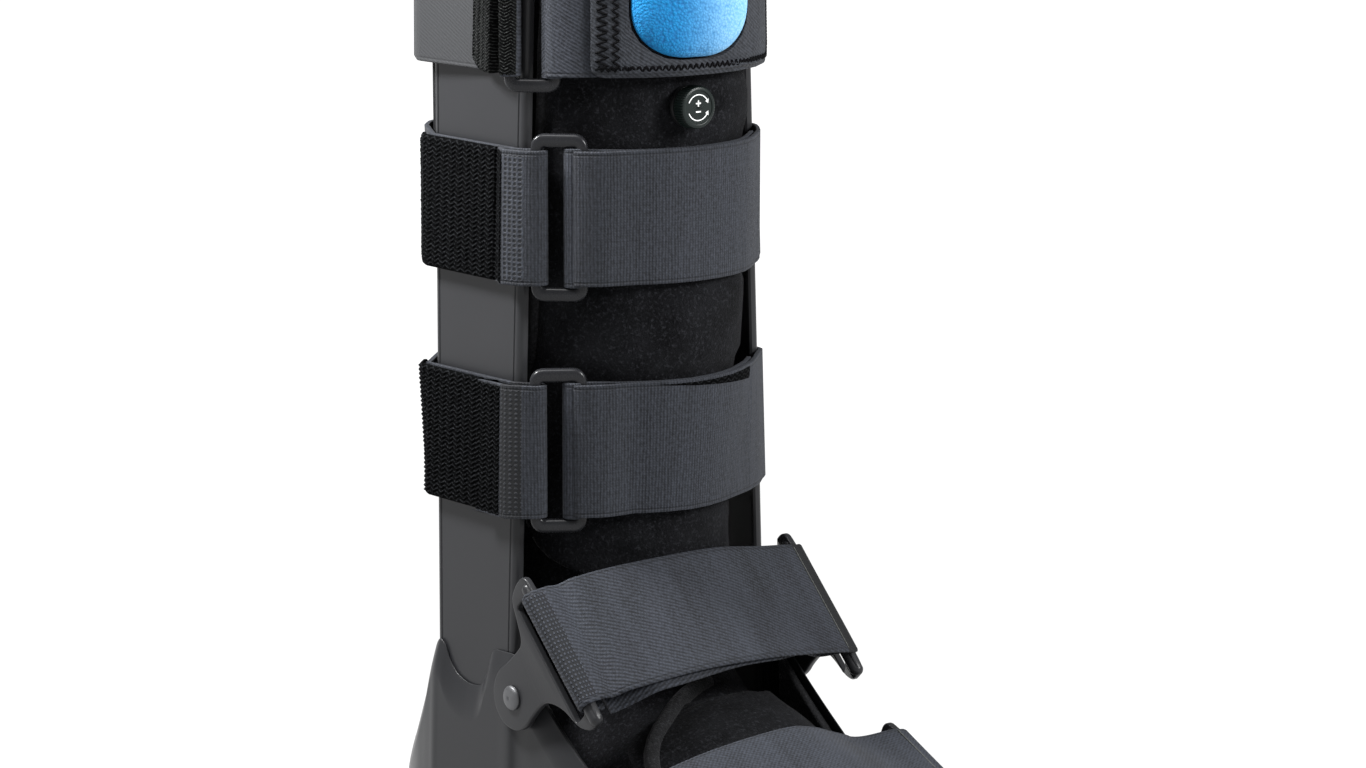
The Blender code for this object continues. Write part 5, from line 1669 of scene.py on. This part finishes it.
    def build_wedge(self, start: float, end: float, tall: float) -> None:
        """Show the hook side of the overlap as a thin dark wedge below the strap's upper edge. The
        wedge also stands in for the shadow between the two layers.

        Args:
            start: Where it starts, measured along the strap.
            end: Where it ends.
            tall: Its height at the end; it grows evenly from the start.
        """
        run = np.linspace(start, end, 60)
        share = np.linspace(0.0, 1.0, 9)[:, None]
        z = self.high - self.wedge_drop - share * np.linspace(self.wedge_start, tall, 60)
        angle = self.skin.angle_at(run)
        lift = self.wedge_lift - self.wedge_crown * (2.0 * share - 1.0) ** 6
        front = self.skin.spot(angle, z, lift)
        back = self.skin.spot(angle, z, -self.wedge_under)
        # The dark wedge is hook tape and painted shadow between the layers
        piece = slab("overlap_" + self.tag, front, back, joined(run, z - self.low))
        fit(piece, piece_finish(self.hook), "hook_tape")


# Strap sewing


@dataclass
class Sewing:
    """Threads sewn on a skin: zigzags and straight running lines."""

    thread: Material
    radius: float
    lift: float = 0.12 * MM

    def zigzag(self, name: str, skin: Skin, start: Pair, end: Pair, width: float,
               pitch: float) -> None:
        """Sew a zigzag between two places given as (run, height).

        The offset across the line is half the width times a triangle wave of the pitch.

        Args:
            name: The piece's name.
            skin: The surface that it lies on.
            start: The first place.
            end: The last place.
            width: Its whole width.
            pitch: Length of one wave.
        """
        a, b = np.array(start), np.array(end)
        length = float(np.linalg.norm(b - a))
        way = (b - a) / length
        s = np.linspace(0.0, length, max(8, int(length / pitch * 8)))
        wave = (np.abs((s / pitch) % 1.0 - 0.5) * 4.0 - 1.0) * width / 2
        run, z = (a + s[:, None] * way + wave[:, None] * np.array([-way[1], way[0]])).T
        path = skin.spot(skin.angle_at(run), z, self.lift)
        fit(tube(name, path, self.radius, 6), self.thread, "webbing")

    def running(self, name: str, path: Array, stitch: float) -> None:
        """Sew a running line along a path: the tube's radius is pinched between the stitches.

        Args:
            name: The piece's name.
            path: Points of the path.
            stitch: Length of one stitch.
        """
        run = run_of(path)
        fine = np.linspace(0.0, run[-1], max(16, int(run[-1] / stitch * 8)))
        line = joined(*(np.interp(fine, run, part) for part in path.T))
        size = self.radius * (0.35 + 0.65 * np.abs(np.sin(np.pi * fine / stitch)) ** 0.5)
        fit(tube(name, line, size, 6), self.thread, "webbing")


# Pump


@dataclass
class Pump:
    """The padded pump panel on the front of the top strap, and its bulb."""

    panel: Material
    blue: Material
    sewing: Sewing
    edge_round: float = 0.7 * MM

    def build(self) -> None:
        """Make the panel, the bulb and the panel's sewing."""
        piece = node_copy("pump_panel", "pump_cover", quads=True, sharp=45.0)
        skin = Skin("pump_panel")
        low, high = (corner.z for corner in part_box("pump_panel"))
        wrap_cloth(piece, skin, low)
        bevel(piece, self.edge_round, 3, 50.0)
        fit(piece, self.panel, "panel_fabric", "pump_panel")

        bulb = node_copy("pump_bulb", "pump_dome", quads=True, sharp=180.0)
        subdivide(bulb)
        fit(bulb, self.blue, "pump_blue", "pump_bulb")

        angle = angle_of(node_triangles("pump_panel").reshape(-1, 3))
        near, far = skin.run_at(np.array([angle.min(), angle.max()]))
        # Name, start and end as (run, height), width and pitch, these two in millimetres
        for name, start, end, width, pitch in (
                ("panel_hem", (near + 3.0 * MM, low + 3.4 * MM), (far - 3.0 * MM, low + 3.4 * MM),
                 2.0, 2.4),
                ("panel_side_seam", (near + 4.2 * MM, low + 3.0 * MM),
                 (near + 4.2 * MM, high - 3.0 * MM), 5.0, 3.1),
                ("panel_inner_seam", (near + 9.2 * MM, low + 3.0 * MM),
                 (near + 9.2 * MM, high - 3.0 * MM), 2.8, 3.1),
                ("panel_far_seam", (far - 5.0 * MM, low + 4.0 * MM),
                 (far - 5.0 * MM, high - 4.0 * MM), 2.2, 2.4)):
            self.sewing.zigzag(name, skin, start, end, width * MM, pitch * MM)


# Valve


@dataclass
class Valve:
    """The valve base and the knurled dial that turns on it."""

    plastic: Material
    ground: Material
    ink: Material
    radius: float = 8.0 * MM
    height: float = 5.5 * MM
    flutes: int = 48
    flute: float = 0.42 * MM
    sunk: float = 0.5 * MM
    ink_thick: float = 0.08 * MM
    arrow: float = 4.75 * MM
    arrow_line: float = 0.19 * MM
    arrow_head: float = 0.85 * MM
    arrow_tip: float = 17.0
    sign_half: float = 0.26 * MM
    sign_reach: float = 1.15 * MM
    sign_place: float = 1.55 * MM

    def build(self) -> None:
        """Make the base, the dial and the marks on the dial's face."""
        low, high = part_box("valve_base")
        middle_x, middle_z = 0.5 * (low.x + high.x), 0.5 * (low.z + high.z)
        centre = np.array([middle_x, high.y, middle_z])
        tall, wide = high.y - low.y, min(0.5 * (high.x - low.x), 0.98 * self.radius)
        toe = (0.0, -1.0, 0.0)
        foot = np.array([[0.0, 0.0], [wide, 0.0], [wide, 0.55 * tall],
                         [wide - 0.3 * MM, 0.85 * tall], [wide - 0.9 * MM, tall], [0.0, tall]])
        fit(turned("valve_flange", foot, centre, toe), self.ground, "dial_plastic", "valve_base")
        centre[1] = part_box("valve_dial")[1].y
        r, h, sunk = self.radius, self.height, self.sunk
        # How far each step lies inside the radius and below the top, in millimetres
        rim = MM * np.array([(0.12, 0.75), (0.5, 0.28), (1.1, 0.03), (1.5, 0.0), (1.75, 0.1),
                             (1.9, 0.45), (2.2, 0.5)])
        profile = np.vstack([
            [[0.0, 0.0], [0.93 * r, 0.0], [r, 0.35 * MM], [r, 0.9 * MM], [r, h - 1.3 * MM]],
            [r, h] - rim, [[0.5 * r, h - sunk], [0.0, h - sunk]]])
        dial = turned("valve_knob", profile, centre, toe, 384, self.flute, self.flutes,
                      (0.3 * MM, h - sunk))
        fit(dial, self.plastic, "dial_plastic", "valve_dial", body="dial")
        self.mark(centre + [0.0, sunk - h, 0.0])

    def mark(self, face: Array) -> None:
        """Print two curved arrows, a plus and a minus on the face, as thin raised shapes.

        Args:
            face: The middle of the dial's face.
        """
        outer, inner = self.arrow + self.arrow_line, self.arrow - self.arrow_line
        for name, start, end in (("arrow_up", 156.0, 34.0), ("arrow_down", 204.0, 326.0)):
            angle = np.radians(np.linspace(start, end, 26))
            tip = math.radians(end - math.copysign(self.arrow_tip, start - end))
            angles = np.concatenate([angle, [angle[-1], tip, angle[-1]], angle[::-1]])
            head = [self.arrow + self.arrow_head, self.arrow, self.arrow - self.arrow_head]
            reach = np.concatenate([np.full(26, outer), head, np.full(26, inner)])
            self.plate(name, joined(reach * np.cos(angles), reach * np.sin(angles)), face)
        w, l = self.sign_half, self.sign_reach
        shift = np.array([0.0, self.sign_place])
        plus = np.array([[w, w], [w, l], [-w, l], [-w, w], [-l, w], [-l, -w], [-w, -w], [-w, -l],
                         [w, -l], [w, -w], [l, -w], [l, w]])
        self.plate("mark_plus", plus + shift, face)
        self.plate("mark_minus", np.array([[l, w], [-l, w], [-l, -w], [l, -w]]) - shift, face)

    def plate(self, name: str, ring: Array, face: Array) -> None:
        """Make one mark: a thin plate on the face, with a ring of (x, z) as its edge.

        Args:
            name: The piece's name.
            ring: Rows of x and z on the face.
            face: The middle of the dial's face.
        """
        levels = np.array([[0.0], [-self.ink_thick]])
        points = joined(ring[:, 0], levels, ring[:, 1]) + face
        made = new_piece(name, points, stack_faces(2, len(ring)), cut=True)
        fit(made, self.ink, "dial_plastic", body="dial")


# Brackets and cross straps


@dataclass
class BracketPair:
    """The right and left bracket of one cross strap, their rivets, and the strap.

    Places on a bracket are given as (down, out) from its rivet and across its thickness. The
    strap's own settings are bulge and fullness of its arch, pull to the right, sag and valley
    beside the rods, hang and tuck of its ends and droop of its upper edge.
    """

    tag: str
    rivet: Pair
    slope: float
    reach: float
    bulge: float
    fullness: float
    pull: float
    sag: float
    plastic: Material
    metal: Material
    strap: Webbing
    sewing: Sewing
    valley: float = 0.0
    hang: float = 0.0
    tuck: float = 0.0
    droop: float = 0.0
    end_patch: float = 0.0
    width: float = 50.0 * MM
    thickness: float = 1.5 * MM
    rod: float = 5.0 * MM
    wrap: float = 0.15 * MM
    plate: float = 3.0 * MM
    shift: float = 3.5 * MM
    lobe: float = 12.5 * MM
    neck: float = 1.12
    half: float = 30.0 * MM
    slot: float = 7.0 * MM
    slot_round: float = 1.5 * MM
    stub: float = 3.0 * MM
    edge: float = 0.9 * MM
    room: float = 3.6 * MM
    sag_start: float = 0.25
    settle: float = 2.4 * MM
    stitch: float = 2.2 * MM
    seam: float = 2.6 * MM
    start_dots: Pair = (-6.3 * MM, 1.2 * MM)
    ripple: float = 0.25 * MM
    ripple_run: float = 9.0 * MM
    rivet_neck: float = 2.3 * MM
    rivet_head: float = 1.9 * MM
    outset: float = 0.25 * MM
    slot_room: float = 2.0 * MM
    rod_swell: float = 0.1 * MM
    seam_lift: float = 0.10 * MM

    def __post_init__(self) -> None:
        """Read how far the plates stand from the middle plane."""
        low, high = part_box(self.tag + "_bracket_right")
        self.plane = -0.5 * (low.x + high.x)

    def build(self) -> None:
        """Make the plates, the rods, the rivets and the strap."""
        for word, side in SIDES:
            self.build_plate(word, side)
            self.build_rod(word, side)
            self.build_rivet(word, side)
        self.build_strap()

    def world(self, x: Array | float, out: Array | float, down: Array) -> Array:
        """Return world points of an x and of distances out and down from the rivet.

        Args:
            x: Distances across the boot.
            out: Distances out from the rivet.
            down: Distances down from the rivet.

        Returns:
            The points.
        """
        cos, sin = math.cos(self.slope), math.sin(self.slope)
        y, z = self.rivet
        return joined(x, y - down * cos - out * sin, z - down * sin + out * cos)

    def place(self, side: float, down: Array, out: Array, across: Array) -> Array:
        """Return world points of places on a bracket, bent inwards beyond its neck.

        Args:
            side: 1 or -1, towards +X or -X.
            down: Distances down from the rivet.
            out: Distances out from the rivet.
            across: Distances from the bracket's middle plane.

        Returns:
            The points.
        """
        neck, edge = self.neck * self.lobe, self.reach - 0.5 * self.rod
        bent = np.clip((out - neck) / (edge - neck), 0.0, 1.0)
        x = side * (self.plane + across) - (self.pull * bent if side > 0 else 0.0)
        return self.world(x, out, down)

    def outline(self) -> Array:
        """Return the plate's edge: its corners cut three times at a quarter and three quarters.

        Returns:
            Rows of the distances down and out from the rivet.
        """
        lobe, rod, slot, reach = self.lobe, self.rod, self.slot, self.reach
        low, high, end = self.shift + self.half, self.shift - self.half, 0.5 * rod
        shoulder = reach - rod - slot - 0.5 * end
        a = np.radians(np.arange(-200, 21, 20))
        ring = np.vstack([lobe * joined(np.cos(a), np.sin(a)), [
            (0.96 * lobe, 0.5 * shoulder + 0.2 * lobe), (1.16 * lobe, 0.80 * shoulder),
            (0.62 * low, shoulder + 0.08 * slot), (0.86 * low, shoulder + 0.42 * slot),
            (low - 0.4 * end, reach - 0.45 * slot - rod), (low + 1.1 * end, reach - 0.75 * rod),
            (low + 1.0 * end, reach + 0.35 * rod), (low - 0.8 * end, reach + 0.62 * rod),
            (high + 0.8 * end, reach + 0.62 * rod), (high - 1.0 * end, reach + 0.35 * rod),
            (high - 1.1 * end, reach - 0.75 * rod), (high - 0.2 * end, reach - 0.75 * slot - rod),
            (0.74 * high, shoulder + 0.05 * slot), (0.42 * high, 0.86 * shoulder),
            (-0.86 * lobe, 0.50 * shoulder + 0.20 * lobe)]])
        for _pass in range(3):
            after = np.roll(ring, -1, 0)
            ring = np.stack([0.75 * ring + 0.25 * after, 0.25 * ring + 0.75 * after], 1)
            ring = ring.reshape(-1, 2)
        return self.inset(ring, -self.outset)

    def slot_ring(self) -> Array:
        """Return the slot's edge, with rounded corners."""
        ring = rounded(self.width + self.slot_room, self.slot, self.slot_round, 7, 2)
        return ring + [self.shift, self.reach - 0.5 * self.rod - 0.5 * self.slot]

    def inset(self, ring: Array, amount: float) -> Array:
        """Return a closed ring moved to its inner side, whichever way round it runs.

        Args:
            ring: Rows of two distances.
            amount: How far each point is moved.

        Returns:
            The moved ring.
        """
        after = np.roll(ring, -1, 0)
        along = unit(after - np.roll(ring, 1, 0))
        turning = np.sign(np.sum(ring[:, 0] * after[:, 1] - after[:, 0] * ring[:, 1]))
        return ring + turning * amount * joined(-along[:, 1], along[:, 0])

    def build_plate(self, word: str, side: float) -> None:
        """Make a plate: two faces with a slot, joined by edges rounded on quarter circles.

        The step at an angle t of an edge lies edge (1 - sin t) inside the outline and
        edge (1 - cos t) below the face.

        Args:
            word: The side's name.
            side: 1 or -1, towards +X or -X.
        """
        turn = np.linspace(0.0, QUARTER, 6)
        level = 0.5 * self.plate - self.edge * (1.0 - np.cos(turn))
        levels = np.concatenate([level, -level[::-1]])
        depth = self.edge * (1.0 - np.sin(turn))
        depths = np.concatenate([depth, depth[::-1]])
        work = bmesh.new()
        caps = []
        for ring, share in ((self.outline(), 1.0), (self.slot_ring(), -0.7)):
            rows = [joined(*self.inset(ring, share * d).T, z) for d, z in zip(depths, levels)]
            verts = [work.verts.new(p) for p in np.vstack(rows)]
            for quad in grid_faces(len(rows), len(ring), False, True):
                work.faces.new([verts[i] for i in quad])
            caps.append((verts[:len(ring)], verts[-len(ring):]))
        for loops in zip(*caps):
            edges = [work.edges.get((loop[i - 1], loop[i])) for loop in loops
                     for i in range(len(loop))]
            bmesh.ops.triangle_fill(work, use_beauty=True, edges=edges)
        if self.pull > 0.0:
            for out in (self.neck * self.lobe, self.reach - 0.5 * self.rod):
                bmesh.ops.bisect_plane(work, dist=1e-7, plane_co=(0.0, out, 0.0),
                                       geom=[*work.verts, *work.edges, *work.faces],
                                       plane_no=(0.0, 1.0, 0.0))
        bmesh.ops.triangulate(work, faces=[f for f in work.faces if len(f.verts) > 4])
        work.verts.ensure_lookup_table()
        down, out, across = np.array([v.co for v in work.verts]).T
        faces = [[v.index for v in f.verts] for f in work.faces]
        work.free()
        piece = new_piece(self.tag + "_plate_" + word, self.place(side, down, out, across),
                          faces, sharp=32.0)
        fit(piece, self.plastic, "shell_plastic", self.tag + "_bracket_" + word)

    def build_rod(self, word: str, side: float) -> None:
        """Make a rod: circles along its line, with half round ends.

        Args:
            word: The side's name.
            side: 1 or -1, towards +X or -X.
        """
        r = 0.5 * self.rod + self.rod_swell
        low, high = self.shift - self.half, self.shift + self.half + self.stub
        t = np.linspace(0.0, QUARTER, 8)
        rise, size = r * (1.0 - np.cos(t)), r * np.sin(t)
        down = np.concatenate([low + rise, high - rise[::-1]])[:, None]
        size = np.concatenate([size, size[::-1]])[:, None]
        a = circle(28)
        points = self.place(side, down, self.reach + size * np.cos(a), size * np.sin(a))
        fit(new_piece(self.tag + "_rod_" + word, points, sharp=50.0), self.plastic,
            "shell_plastic")

    def build_rivet(self, word: str, side: float) -> None:
        """Make a rivet: a shank and a domed head with a shallow dimple.

        Args:
            word: The side's name.
            side: 1 or -1, towards +X or -X.
        """
        node = self.tag + "_rivet_" + word
        low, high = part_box(node)
        tall, radius = high.x - low.x, 0.5 * (high.z - low.z)
        neck, head = self.rivet_neck, tall - self.rivet_head
        t = np.linspace(0.0, QUARTER, 9)[:-1]
        dome = joined(radius * np.cos(t) ** 0.8, head + 0.3 * MM + 1.6 * MM * np.sin(t))
        dimple = [[0.9 * MM, tall - 0.06 * MM], [0.5 * MM, tall - 0.35 * MM],
                  [0.0, tall - 0.42 * MM]]
        profile = np.vstack([[[0.0, 0.0], [neck, 0.0], [neck, head], [radius, head]], dome,
                             dimple])
        centre = np.array([high.x if side < 0 else low.x, 0.5 * (low.y + high.y),
                           0.5 * (low.z + high.z)])
        piece = turned(self.tag + "_stud_" + word, profile, centre, (side, 0.0, 0.0), 40)
        fit(piece, self.metal, "rivet_metal", node)

    def path(self) -> tuple[Array, Array, Array]:
        """Return the strap's middle line, its zone marks and how far each point hangs down.

        The line is (x, height over the rods). Its outer span is
        radius + bulge (1 - |x / span|^fullness) - sag sin^2(pi dip) - valley sin^2(pi step).
        The ends turn round the rods on circles, and the inner layer settles to one layer below
        the outer one.

        Returns:
            Three arrays, each with one row for each point of the line.
        """
        offset = -0.5 * self.pull
        span = self.plane + offset
        radius = 0.5 * self.rod + 2.0 * self.wrap + 0.5 * self.thickness
        clear = span - self.plate - self.room
        lap, valley_run = 3.5 * MM, 11.0 * MM

        def arch(x: Array) -> Array:
            """Return the height of the outer span over the rods.

            Args:
                x: Places across the boot.

            Returns:
                The heights.
            """
            dip = np.clip((x / span - self.sag_start) / (1.0 - self.sag_start), 0.0, 1.0)
            return (self.bulge * (1.0 - np.minimum(1.0, np.abs(x) / span) ** self.fullness)
                    - self.sag * np.sin(np.pi * dip) ** 2)

        def inside(x: Array) -> Array:
            """Return the height of the inner layer."""
            ease = smooth(0.0, 1.0, (clear - np.abs(x)) / (0.36 * span))
            return -radius + (2.0 * radius + arch(x) - self.settle) * ease

        first = np.linspace(2.0 * MM - clear, -clear, 4)
        turn = np.linspace(0.0, np.pi, 17)
        middle = np.linspace(-span, span, 121)[1:-1]
        last = np.linspace(clear, lap - clear, 90)
        step = np.clip((middle + span - lap) / valley_run, 0.0, 1.0)
        over = radius + arch(middle) - self.valley * np.sin(np.pi * step) ** 2
        parts = [joined(first, inside(first)),
                 joined(-span - radius * np.sin(turn), -radius * np.cos(turn)),
                 joined(middle, over),
                 joined(span + radius * np.sin(turn), radius * np.cos(turn)),
                 joined(last, inside(last))]
        marks = np.cumsum([len(part) for part in parts])
        hang = np.concatenate([
            np.zeros(marks[2]), -self.tuck * smooth(0.0, np.pi, turn),
            self.hang * smooth(-0.15 * span, 0.45 * span, -last)
            - self.tuck * smooth(0.30 * span, clear, last)])
        return np.vstack(parts) + [offset, 0.0], marks, hang

    def build_strap(self) -> None:
        """Make the strap: its line, thickened, carried across its width with worn edges.

        The far half of the upper edge falls by droop sin(pi t), fading out across the strap.
        """
        line, marks, hang = self.path()
        along = unit(np.gradient(line, axis=0))
        normal = joined(-along[:, 1], along[:, 0])
        run = run_of(line)
        thinning = [0.0, 0.008, 0.02, 0.98, 0.992, 1.0]
        share = np.concatenate([thinning[:3], np.linspace(0.05, 0.95, 17), thinning[3:]])[:, None]
        thin = np.interp(share, thinning, [0.35, 0.75, 1.0, 1.0, 0.75, 0.35])
        down = self.shift + self.width * (share - 0.5) + hang
        ripple = self.ripple * np.sin(run / self.ripple_run) * (2 * share - 1) ** 3
        outer = np.zeros(len(line))
        outer[marks[1]:marks[2]] = 1.0
        fall = np.clip((line[:, 0] / self.plane - 0.12) / 0.85, 0.0, 1.0)
        ripple = ripple - self.droop * outer * np.sin(np.pi * fall) * (
            1.0 - smooth(0.0, 0.48, share))
        sheets = []
        for way in (0.5, -0.5):
            reach = way * self.thickness * thin
            lift = line[:, 1] + reach * normal[:, 1] + ripple
            sheets.append(self.world(line[:, 0] + reach * normal[:, 0], self.reach + lift, down))
        piece = slab(self.tag + "_webbing", *sheets, joined(run, share * self.width), 50.0)
        start, end = run[marks[1]], run[marks[2] - 1]
        seam = end - self.seam
        dots = tuple(start + at for at in self.start_dots)
        # The weld dots are painted bright as highlights on their bumps, with painted shade between
        # them
        finish = replace(self.strap, width=self.width, dots=dots, dot_depth=0.0005,
                         dot_highlight=1.0, pitch=(1.25 * MM, 1.85 * MM),
                         patch=(seam, end + self.end_patch) if self.end_patch else NOWHERE)
        fit(piece, finish.make(), "webbing", self.tag + "_strap")
        at = int(np.searchsorted(run, seam))
        lift = normal[at] * (0.5 * self.thickness + self.seam_lift)
        x, height = line[at] + lift * math.copysign(1.0, lift[1])
        edge = self.shift + np.linspace(-0.47 * self.width, 0.47 * self.width, 60)
        self.sewing.running(self.tag + "_end_seam", self.world(x, self.reach + height, edge),
                            self.stitch)


# Studio


@dataclass
class Studio:
    """Pale floor, soft lights and the camera.

    Each light has a name, its place as shares of right and flat and a height over the target,
    its size and its power.
    """

    azimuth: float = -38.0
    elevation: float = 10.5
    sensor: float = 36.0
    focal: float = 4850.0 / 1366.0 * 36.0
    spot: tuple[float, float, float] = (-1.0950, -1.4529, 0.5471)
    target: tuple[float, float, float] = (0.0, -0.02, 0.23)
    floor_radius: float = 14.0
    floor_drop: float = 0.0002
    floor_near: float = 0.12
    floor_far: float = 0.80
    floor_rise: Pair = (0.4, 2.4)
    floor_glow: float = 0.84
    sky: float = 0.30
    lights: tuple[tuple[str, float, float, float, float, float], ...] = (
        ("key", 1.05, 0.5, 0.62, 0.45, 24.0), ("fill", -0.36, 0.06, 0.40, 0.14, 9.0),
        ("top", -0.1, 0.4, 1.1, 0.6, 8.0), ("rear", -0.9, -1.2, 0.9, 0.8, 3.0))

    def build(self) -> None:
        """Make the camera, the floor, the lights and the sky."""
        a, e = math.radians(self.azimuth), math.radians(self.elevation)
        back = Vector((math.sin(a) * math.cos(e), -math.cos(a) * math.cos(e), math.sin(e)))
        right = Vector((math.cos(a), math.sin(a), 0.0))
        data = bpy.data.cameras.new("camera")
        put(data, lens=self.focal, sensor_width=self.sensor, clip_start=0.05)
        camera = link("camera", data)
        turn = Matrix((right, back.cross(right), back)).transposed()
        camera.matrix_world = Matrix.Translation(self.spot) @ turn.to_4x4()
        bpy.context.scene.camera = camera
        self.light(right, Vector((back.x, back.y, 0.0)).normalized())
        self.floor()

    def floor(self) -> None:
        """Make the floor, a wide disc just below the sole."""
        turn = circle(96)
        reach = self.floor_radius
        points = joined(reach * np.cos(turn), reach * np.sin(turn), -self.floor_drop)
        mesh = bpy.data.meshes.new("floor")
        mesh.from_pydata(points.tolist(), [], [list(range(96))])
        floor = link("floor", mesh)
        s = Shade("floor_paint")
        where, x, y, _z = s.place()
        away = ((x * x + y * y) ** 0.5).rise(*self.floor_rise)
        base = s.mix(away * (0.97 + 0.03 * s.noise(where, 3.0)), (self.floor_near,) * 3,
                     (self.floor_far,) * 3)
        mesh.materials.append(s.coat(Base_Color=base, Roughness=0.9, Specular_IOR_Level=0.1,
                                     Emission_Color=(1.0, 1.0, 1.0, 1.0),
                                     Emission_Strength=self.floor_glow))

    def light(self, right: Vector, flat: Vector) -> None:
        """Make a key from the camera's right, a fill from its left, a top, a rear and the sky.

        Args:
            right: The camera's direction to the right.
            flat: The level direction from the target towards the camera.
        """
        for name, across, near, height, size, power in self.lights:
            where = right * across + flat * near + Vector((0.0, 0.0, height))
            data = bpy.data.lights.new(name, "AREA")
            put(data, shape="DISK", size=size, energy=power)
            put(link(name, data), location=Vector(self.target) + where,
                rotation_mode="QUATERNION", rotation_quaternion=(-where).to_track_quat("-Z", "Y"))
        world = bpy.data.worlds.new("sky")
        world.use_nodes = True
        bpy.context.scene.world = world
        ground = world.node_tree.nodes["Background"]
        ground.inputs[0].default_value = (1.0, 1.0, 1.0, 1.0)
        ground.inputs[1].default_value = self.sky
        bpy.context.scene.view_settings.view_transform = "Standard"


# The whole boot


def make_straps(ring: Material) -> None:
    """Make the three calf straps, from the lowest up.

    Args:
        ring: Material of the straps' rings.
    """
    # The low and mid straps' fade is painted shade towards their rear ends, and their weld dots
    # carry painted highlights and painted shade
    low = Webbing("webbing_low", Weave.RIB, dots=(-80.6 * MM, -71.6 * MM), dot_depth=0.00035,
                  patch=(-81.0 * MM, -71.6 * MM), patch_share=0.7, fade=0.22)
    mid = Webbing("webbing_mid", Weave.RIB, dots=(-81.4 * MM, -72.2 * MM), dot_depth=0.0005,
                  dot_highlight=0.22, fade=0.30, holes=True)
    top = Webbing("webbing_top", Weave.PLAIN, patch=(-1.0, -108.7 * MM),
                  patch_colour=(0.0160, 0.0168, 0.0185))
    # The top tab's light colour is that of its painted highlights
    fine_hook = HookTape("hook_tape_top", 1.2 * MM, slant=1.1, dark=(0.004, 0.0043, 0.0043),
                         light=(0.045, 0.047, 0.046))
    strap = CalfStrap("low", low, HookTape("hook_tape_low"), ring, (-154.3 * MM, -80.8 * MM))
    strap.build()
    strap.build_wedge(-16.0 * MM, 37.0 * MM, 4.6 * MM)
    CalfStrap("mid", mid, HookTape("hook_tape_mid"), ring, (-151.1 * MM, -81.7 * MM)).build()
    CalfStrap("top", top, fine_hook, ring, (-110.5 * MM, -73.5 * MM), fold=1.2 * MM,
              flare=5.0 * MM).build()
    LOG.info("calf straps made")


def make_crosses(shell: Material) -> None:
    """Make the brackets and the straps over the instep and the foot.

    Args:
        shell: Material of the brackets.
    """
    metal = Steel("rivet_metal").make()
    seam = Sewing(Thread("seam_thread", (0.070, 0.072, 0.070)).make(), 0.30 * MM)
    cross = (0.0255, 0.0292, 0.0385)
    instep = Webbing("webbing_instep", Weave.TWILL, light=cross)
    foot = Webbing("webbing_foot", Weave.DOTTED, light=cross)
    BracketPair("instep", (-35.7 * MM, 104.5 * MM), math.radians(45.0), 36.0 * MM, 9.0 * MM, 2.2,
                9.5 * MM, 1.0 * MM, shell, metal, instep, seam, valley=1.7 * MM,
                hang=2.6 * MM, tuck=4.5 * MM, end_patch=12.0 * MM).build()
    BracketPair("foot", (-111.0 * MM, 47.9 * MM), math.radians(25.0), 28.0 * MM, 12.5 * MM, 1.7,
                0.0, 2.7 * MM, shell, metal, foot, seam, droop=3.0 * MM).build()
    LOG.info("brackets and cross straps made")


def main() -> None:
    """Make every piece in order."""
    logging.basicConfig(level=logging.INFO, format="%(name)s: %(message)s")
    shell = MouldedPlastic("shell_plastic").make()
    ring = MouldedPlastic("ring_plastic", (0.0120, 0.0124, 0.0140), 0.27, 0.00003).make()
    dial = MouldedPlastic("dial_plastic", (0.0055, 0.0095, 0.0085), 0.38, 0.00003).make()
    black = MouldedPlastic("black_plastic", (0.0030, 0.0032, 0.0036), 0.5, 0.00003).make()
    pile = Pile("liner_pile").make()
    edge_pile = Pile("binding_pile", (0.0045, 0.0046, 0.0052), (0.024, 0.0245, 0.027), 0.04,
                     0.2).make()
    sewing = Sewing(Thread("sewing_thread", (0.0022, 0.0023, 0.0027)).make(), 0.48 * MM)

    outline = FootOutline()
    FootShell(outline, shell, Rubber("sole_rubber").make()).build()
    for word, side in SIDES:
        Upright(word, side, outline, shell).build()

    bands = tuple(tuple(corner.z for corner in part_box("calf_strap_" + tag))
                  for tag in ("low", "mid", "top"))
    low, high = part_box("valve_base")
    Liner(pile, edge_pile, bands, (0.5 * (low.x + high.x), 0.5 * (low.z + high.z))).build()
    make_straps(ring)

    panel = Webbing("panel_fabric", Weave.PLAIN, 72.0 * MM, light=(0.0400, 0.0450, 0.0550),
                    dark=(0.0030, 0.0033, 0.0044)).make()
    Pump(panel, NubbyCloth("pump_blue").make(), sewing).build()
    Valve(dial, black, PadPrint("pad_print").make()).build()
    make_crosses(shell)

    Studio().build()
    LOG.info("studio made")
    bpy.context.view_layer.update()
    LOG.info("boxes written")


if __name__ == "__main__":
    main()
